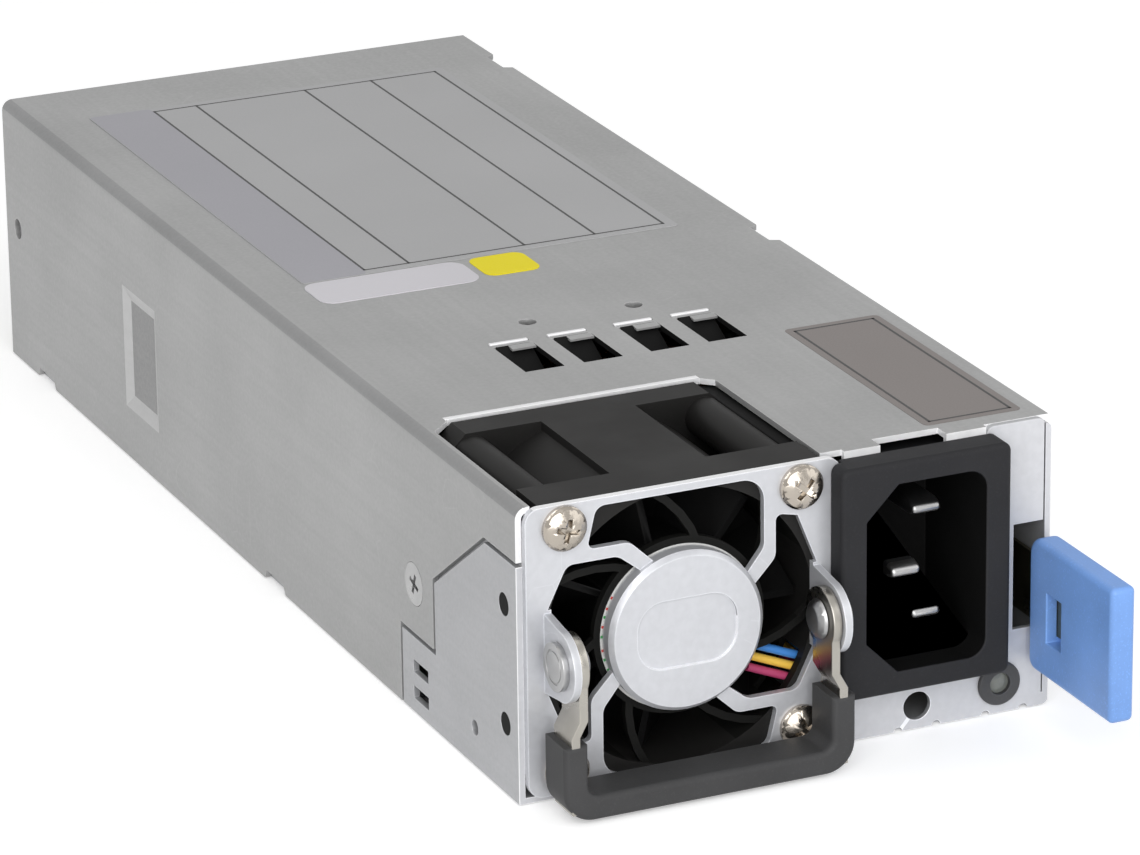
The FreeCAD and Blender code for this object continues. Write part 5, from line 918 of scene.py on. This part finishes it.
@dataclass
class CoverLabels:
    """The bare labels on the cover: a large ruled one with a band, a white, a yellow and a seal.

    Attributes:
        line: the width of the printed lines in millimetres.
        table: the left, right, front and rear of the ruled table.
        columns: where the lines between its columns start.
        border: the left, right, front and rear of the seal's printed border.
    """

    line: float = 0.35
    table: Sides = (-19.0, 25.6, 90.0, 169.6)
    columns: tuple[float, ...] = (-12.5, 4.5, 15.0)
    border: Sides = (21.8, 33.5, 4.6, 42.7)
    main: Label = field(default_factory=lambda: Label(
        "main_label", -28.4, 27.1, 88.6, 171.0, 0.6, Finish.LABEL))
    white: Label = field(default_factory=lambda: Label(
        "white_label", -29.0, -6.0, 79.4, 88.2, 2.2, Finish.WHITE_LABEL))
    yellow: Label = field(default_factory=lambda: Label(
        "yellow_label", -4.9, 3.1, 80.4, 88.2, 1.6, Finish.YELLOW_LABEL))
    band: Label = field(default_factory=lambda: Label(
        "label_band", -28.3, -19.0, 88.7, 170.9, 0.6, Finish.LABEL_BAND, 0.10))
    seal: Label = field(default_factory=lambda: Label(
        "seal_film", 20.8, 34.5, 3.6, 43.7, 0.8, Finish.SEAL, 0.04))

    def outline(self, left: float, right: float, front: float, rear: float) -> list[Sides]:
        """Return the four bars of a rectangle's outline."""
        wide = self.line
        return [(left, right, front, front + wide), (left, right, rear - wide, rear),
                (left, left + wide, front, rear), (right - wide, right, front, rear)]

    def build(self, top: float) -> list[bpy.types.Object]:
        """Model all the labels.

        Args:
            top: the height of the cover's top in metres.

        Returns:
            The pieces made.
        """
        pieces = [label.build(top)
                  for label in (self.main, self.white, self.yellow, self.band, self.seal)]
        lines = self.outline(*self.table)
        lines += [(place, place + self.line, *self.table[2:]) for place in self.columns]
        pieces.append(Rules("label_rules", lines).build(top + self.main.thick * MM))
        pieces.append(Rules("seal_outline", self.outline(*self.border)).build(
            top + self.seal.thick * MM))
        return pieces


@dataclass
class FanLabel:
    """Round label on the front of the fan's hub, with short coloured marks near its rim.

    Attributes:
        radius: its radius in millimetres.
        thick: its thickness in millimetres.
        mark: how far the marks' middles stand from the label's middle, in millimetres.
        mark_size: the length, thickness and width of a mark.
        sink: how far the label's rear face is sunk in the hub.
    """

    radius: float = 10.75
    thick: float = 0.1
    mark: float = 10.45
    mark_size: Triple = (0.5, 0.02, 0.35)
    sink: float = 0.01

    def build(self) -> list[bpy.types.Object]:
        """Model the label and its marks on the fan's hub.

        Returns:
            The pieces made.
        """
        low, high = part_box("fan_rotor")
        middle = ((low.x + high.x) / 2 / MM, (low.z + high.z) / 2 / MM)
        front = HUB_FRONT - self.thick / 2 + self.sink
        deselect()
        bpy.ops.mesh.primitive_cylinder_add(
            vertices=96, radius=self.radius * MM, depth=self.thick * MM,
            location=spot((middle[0], front, middle[1])), rotation=(math.pi / 2, 0.0, 0.0))
        disc = settle(bpy.context.object, "fan_label")
        smooth(disc)
        pieces = [fasten(disc, Finish.HUB_LABEL)]
        for name, finish, angles in (("fan_label_red", Finish.RED_MARK, (150, 158, 171, 188)),
                                     ("fan_label_green", Finish.GREEN_MARK, (164, 178, 195, 203))):
            marks = []
            for angle in angles:
                turn = math.radians(angle)
                place = (middle[0] + self.mark * math.cos(turn), front - self.thick / 2,
                         middle[1] + self.mark * math.sin(turn))
                marks.append(bar(place, self.mark_size, (0.0, -angle, 0.0)))
            pieces.append(fasten(join(marks, name), finish))
        return pieces


@dataclass(frozen=True)
class CoverTrim:
    """Lips and steps of the louvres, a painted highlight along the fan opening's edge, and a near-black
    block of painted shade in the gap beside the fan.

    Attributes:
        lip_wide, lip_long, lip_tall: the size of a lip.
        lip_place, lip_shift, lip_sink: its middle behind the case's face, its place beside the
            louvre's middle, and how deep it sits in the cover.
        step_wide, step_long, step_thick: the size of the flat start of a louvre.
        step_place, step_shift, step_height, step_lean: where it lies and its lean, in degrees.
        edge, edge_thick, edge_sink: the painted edge highlight's left, right, front and rear, its
        thickness, and how deep it sits in the cover.
        gap_shade: the left, right, front, rear, low and high sides of the near-black block of painted
            shade.
        lip_round, edge_round, gap_shade_round: the radii of the pieces' own edges.
    """

    lip_wide: float = 5.4
    lip_long: float = 0.62
    lip_tall: float = 0.3
    lip_place: float = 55.1
    lip_shift: float = -0.25
    lip_sink: float = 0.02
    step_wide: float = 3.4
    step_long: float = 1.4
    step_thick: float = 0.3
    step_place: float = 53.55
    step_shift: float = 1.05
    step_height: float = 38.8
    step_lean: float = 3.0
    edge: Sides = (-32.1, 3.1, 31.95, 32.9)
    edge_thick: float = 0.1
    edge_sink: float = 0.01
    gap_shade: tuple[float, float, float, float, float, float] = (3.0, 5.25, 8.0, 31.95, 34.5, 37.95)
    lip_round: float = 0.12
    edge_round: float = 0.04
    gap_shade_round: float = 0.3

    def build(self, top: float) -> list[bpy.types.Object]:
        """Model the lips, the steps, the painted edge highlight and the painted shade block.

        Args:
            top: the height of the cover's top in metres.

        Returns:
            The pieces made.
        """
        level = top / MM
        bars = []
        for middle in LOUVRE_MIDDLES:
            place = (middle + self.lip_shift, self.lip_place, level + self.lip_tall / 2 - self.lip_sink)
            lip = bar(place, (self.lip_wide, self.lip_long, self.lip_tall))
            self.round_off(lip, self.lip_round)
            bars.append(lip)
        # The louvre lips take the painted edge highlight.
        lips = fasten(join(bars, "louvre_lips"), Finish.CUT_EDGE)
        step = (self.step_wide, self.step_long, self.step_thick)
        bars = [bar((middle + self.step_shift, self.step_place, self.step_height), step,
                    (self.step_lean, 0.0, 0.0)) for middle in LOUVRE_MIDDLES]
        steps = fasten(join(bars, "louvre_steps"), Finish.ZINC)
        low = level - self.edge_sink
        # A thin bright slab paints the highlight along the fan opening's edge.
        edge = slab(*self.edge, low, low + self.edge_thick)
        self.round_off(edge, self.edge_round)
        fasten(settle(edge, "opening_edge_highlight"), Finish.CUT_EDGE)
        # A near-black block fills the gap beside the fan: painted shade.
        gap_shade = slab(*self.gap_shade)
        self.round_off(gap_shade, self.gap_shade_round)
        fasten(settle(gap_shade, "fan_gap_shade"), Finish.HOLLOW)
        return [lips, steps, edge, gap_shade]

    def round_off(self, piece: bpy.types.Object, radius: float) -> None:
        """Round all edges of a piece by a radius in millimetres."""
        round_edges(piece, radius * MM)
        smooth(piece, TRIM_ANGLE)


# -------------------------------------------------- studio
@dataclass(frozen=True)
class Studio:
    """Floor, light and camera.

    Attributes:
        azimuth, elevation, roll: the camera's direction and tilt in degrees.
        place: the camera's place in metres.
        lens: its focal length in millimetres.
        floor_lift: how brightly the floor glows for rays that look at it.
        world: the strength of the light from all round.
        lamps: each soft box's name, place in metres, size in metres and power in watts.
    """

    azimuth: float = -24.118
    elevation: float = 20.313
    roll: float = -0.764
    place: Triple = (-0.3156, -0.7320, 0.3076)
    lens: float = 195.84
    floor_lift: float = 0.35
    world: float = 0.38
    lamps: tuple[tuple[str, Triple, float, float], ...] = (
        ("key", (-0.45, -1.05, 0.5), 1.2, 14.5),
        ("fill", (0.9, -0.6, 0.5), 1.0, 3.6),
        ("top", (-0.2, 0.3, 1.3), 1.4, 2.6),
    )

    def camera(self) -> None:
        """Place the camera."""
        a, e, r = (math.radians(v) for v in (self.azimuth, self.elevation, self.roll))
        back = Vector((math.sin(a) * math.cos(e), -math.cos(a) * math.cos(e), math.sin(e)))
        right = (-back).cross(Vector((0, 0, 1))).normalized()
        up = right.cross(-back)
        x_axis = math.cos(r) * right + math.sin(r) * up
        y_axis = -math.sin(r) * right + math.cos(r) * up
        data = bpy.data.cameras.new("camera")
        data.lens = self.lens
        data.sensor_width = 36.0
        data.clip_start = 0.05
        data.clip_end = 20.0
        camera = bpy.data.objects.new("camera", data)
        bpy.context.scene.collection.objects.link(camera)
        turn = Matrix((x_axis, y_axis, back)).transposed().to_4x4()
        camera.matrix_world = Matrix.Translation(self.place) @ turn
        bpy.context.scene.camera = camera

    def seen(self, tree: bpy.types.NodeTree) -> bpy.types.NodeSocket:
        """Mark the rays that look at the surroundings: straight, mirrored or through glass.

        Args:
            tree: the node tree of the floor's material or of the world.

        Returns:
            A socket that is 1 for those rays and 0 for the rest.
        """
        path = tree.nodes.new("ShaderNodeLightPath")
        found = path.outputs["Is Camera Ray"]
        for kind in ("Is Glossy Ray", "Is Transmission Ray"):
            found = calculate(tree, "MAXIMUM", found, path.outputs[kind])
        return found

    def floor(self, low: float) -> None:
        """Lay the pale floor that keeps the module's shadow."""
        deselect()
        bpy.ops.mesh.primitive_plane_add(size=6.0, location=(0.0, 0.0, low - 0.0002))
        floor = settle(bpy.context.object, "floor")
        material = bpy.data.materials.new("floor")
        material.use_nodes = True
        tree = material.node_tree
        principled = tree.nodes["Principled BSDF"]
        principled.inputs["Base Color"].default_value = FLOOR_GREY
        principled.inputs["Roughness"].default_value = 1.0
        principled.inputs["Specular IOR Level"].default_value = 0.0
        principled.inputs["Emission Color"].default_value = PURE_WHITE
        lift = calculate(tree, "MULTIPLY", self.seen(tree), self.floor_lift)
        tree.links.new(lift, principled.inputs["Emission Strength"])
        floor.data.materials.append(material)

    def light(self) -> None:
        """Hang soft boxes and set the world."""
        world = bpy.data.worlds.new("world")
        bpy.context.scene.world = world
        world.use_nodes = True
        nodes, links = world.node_tree.nodes, world.node_tree.links
        plain = nodes["Background"]
        plain.inputs["Color"].default_value = PURE_WHITE
        plain.inputs["Strength"].default_value = self.world
        white = nodes.new("ShaderNodeBackground")
        white.inputs["Strength"].default_value = 1.0
        mix = nodes.new("ShaderNodeMixShader")
        links.new(self.seen(world.node_tree), mix.inputs[0])
        links.new(plain.outputs[0], mix.inputs[1])
        links.new(white.outputs[0], mix.inputs[2])
        links.new(mix.outputs[0], nodes["World Output"].inputs["Surface"])
        for name, place, size, power in self.lamps:
            data = bpy.data.lights.new(name, "AREA")
            data.size = size
            data.energy = power
            lamp = bpy.data.objects.new(name, data)
            bpy.context.scene.collection.objects.link(lamp)
            lamp.location = place
            lamp.rotation_euler = (-Vector(place)).to_track_quat("-Z", "Y").to_euler()


# Painted shade: the louvres' tongues and insides take the near-black finish.
LOUVRE_SHADES = tuple(
    (Zone((middle - 2.8, middle + 2.8), (43.5, 54.15), (33.0, 38.85)), Finish.HOLLOW)
    for middle in LOUVRE_MIDDLES)
DENT = Zone((-37.0, -35.0), (122.5, 137.5), (6.5, 27.0))
COVER_SHADES = LOUVRE_SHADES + (
    # The dent's slopes take painted highlight and its floor painted shade.
    (Zone((-36.73, -36.19), (122.5, 137.5), (6.5, 27.0)), Finish.DENT_SLOPE),
    (Zone((-36.18, -36.10), (122.5, 137.5), (6.5, 27.0)), Finish.DENT_FLOOR),
    # Painted shade along both of the cover's top bends.
    (Zone((-36.76, -35.1), (0.0, 216.0), (37.9, 38.99)), Finish.BEND),
    (Zone((35.1, 36.76), (0.0, 216.0), (37.9, 38.99)), Finish.BEND),
    # Painted highlights along the cover's lit edges.
    (Zone((-35.0, 5.0), (29.0, 32.15), (38.15, 38.99)), Finish.CUT_EDGE),
    (Zone((5.0, 35.0), (-0.15, 2.6), (38.15, 38.99)), Finish.CUT_EDGE),
    (Zone((-36.8, -34.7), (-0.15, 0.15), (20.0, 38.9)), Finish.CUT_EDGE),
)
CHASSIS_SHADES = (
    # Painted highlight along the chassis's left front edge.
    (Zone((-36.8, -35.0), (-0.15, 0.12), (4.0, 38.0)), Finish.CUT_EDGE),
    # Painted light on the chassis's front face and its low lip.
    (Zone((-35.0, 37.0), (-0.15, 0.12), (-0.1, 38.0)), Finish.FACE),
    (Zone((-35.0, 31.0), (-0.15, 0.12), (-0.1, 5.6)), Finish.FACE_LOW),
)
GUARD_SHADES = (
    # Painted shade on the guard's side flange, seen through the wing's holes.
    (Zone((-37.0, -36.25), (0.0, 9.0), (5.0, 29.0)), Finish.HOLLOW),
    # Painted highlight along the guard's top edge.
    (Zone((-37.0, 7.0), (-1.1, 0.2), (38.76, 38.95)), Finish.CUT_EDGE),
    # The hub groove: painted shade above its middle, painted highlight below.
    (Zone((-22.5, -7.1), (-2.17, -1.87), (19.9, 25.3)), Finish.GROOVE_DARK),
    (Zone((-22.5, -7.1), (-2.17, -1.87), (14.5, 19.9)), Finish.GROOVE_LIGHT),
)
FAN_MIDDLE = (-14.8, 19.9)
FAN_HOLE = 16.0
HEAD_FRONT = -2.8
HEADS = tuple(
    Recess((FAN_MIDDLE[0] + u * FAN_HOLE, HEAD_FRONT, FAN_MIDDLE[1] + v * FAN_HOLE), turn=turn)
    for u, v, turn in ((-1, 1, 12.0), (1, 1, 40.0), (1, -1, 70.0), (-1, -1, 25.0)))

SKINS = [
    Skin("chassis", Finish.PANEL, 0.00012, shades=CHASSIS_SHADES),
    Skin("top_cover", Finish.ZINC, 0.00012, creases=(DENT,), shades=COVER_SHADES),
    Skin("fan_guard", Finish.GUARD, 0.00012, shades=GUARD_SHADES),
    # The fan's inside takes the darker copy of its moulding, painted shade.
    Skin("fan_frame", Finish.FAN, 0.00015,
         shades=((Zone((-31.5, 1.9), (0.12, 31.2), (3.2, 33.0)), Finish.FAN_DEEP),)),
    Skin("fan_rotor", Finish.ROTOR, 0.0),
    Skin("fan_screws", Finish.NICKEL, 0.0, recesses=HEADS),
    Skin("handle_strap", Finish.STRAP, 0.00015),
    Skin("handle_grip", Finish.GRIP, 0.0003),
    Skin("handle_rivets", Finish.TIN, 0.00006),
    # Painted shade: the socket's inside takes the near-black finish.
    Skin("inlet_housing", Finish.BEZEL, 0.0002,
         shades=((Zone((8.5, 25.8), (-3.95, 12.6), (9.8, 35.6)), Finish.HOLLOW),)),
    # The pins' bodies take the painted shade and their end faces the plain tin.
    Skin("inlet_pins", Finish.PIN, 0.0005,
         shades=((Zone((10.0, 25.0), (-3.0, 0.0), (10.0, 35.0)), Finish.TIN),)),
    Skin("lamp_holder", Finish.LAMP, 0.00008),
    Skin("latch_spring", Finish.SPRING, 0.0001),
    Skin("latch_tab", Finish.BLUE, 0.0002),
    Skin("cover_screw", Finish.TIN, 0.0,
         recesses=(Recess((-36.75, 32.2, 17.7), "X", 20.0, 2.8, 0.6, 0.7),)),
]

CARRIED = Carried({
    "rear_panel": Finish.PANEL,
    "rotor_magnet": Finish.MAGNET,
    "fan_shaft": Finish.SPRING,
    "fan_bearings": Finish.SPRING,
    "fan_stator": Finish.SPRING,
    "fan_windings": Finish.COPPER,
    "fan_leads": Finish.WIRES,
    "fan_plug": Finish.WHITE,
    "filter_board": Finish.BOARD,
    "lamp_lens": Finish.LENS,
    "latch_rivets": Finish.TIN,
    "main_board": Finish.BOARD,
    "board_standoffs": Finish.TIN,
    "board_screws": Finish.NICKEL,
    "insulating_sheet": Finish.FILM,
    "edge_contacts": Finish.GOLD,
    "line_choke_core": Finish.FERRITE,
    "line_choke_winding": Finish.COPPER,
    "boost_choke_core": Finish.FERRITE,
    "boost_choke_winding": Finish.COPPER,
    "film_capacitors": Finish.YELLOW,
    "disc_capacitors": Finish.DIPPED,
    "mains_fuse": Finish.CAPS,
    "bridge_rectifier": Finish.PACKAGE,
    "bulk_capacitor": Finish.SLEEVE,
    "primary_heat_sink": Finish.EXTRUDED,
    "power_transistors": Finish.PACKAGE,
    "output_heat_sink": Finish.EXTRUDED,
    "output_capacitors": Finish.SLEEVE,
    "control_board": Finish.BOARD,
    "bus_bars": Finish.COPPER,
    "transformer_core": Finish.FERRITE,
    "transformer_winding": Finish.TAPE,
})


def write_sizes() -> None:
    """Bring the view layer up to date."""
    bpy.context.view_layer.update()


def main() -> None:
    """Build every piece in order."""
    logging.basicConfig(level=logging.INFO, format="%(name)s: %(message)s")
    bpy.context.scene.view_settings.view_transform = "Standard"
    studio = Studio()
    studio.camera()
    studio.light()
    studio.floor(min(0.0, CAD_BOX[0].z))
    CARRIED.dress()
    for skin in SKINS:
        LOG.info("skin %s: %d faces", skin.node, len(skin.build().data.polygons))
    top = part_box("top_cover")[1].z
    for piece in CoverLabels().build(top) + FanLabel().build() + CoverTrim().build(top):
        LOG.info("added piece %s", piece.name)
    write_sizes()


if __name__ == "__main__":
    main()
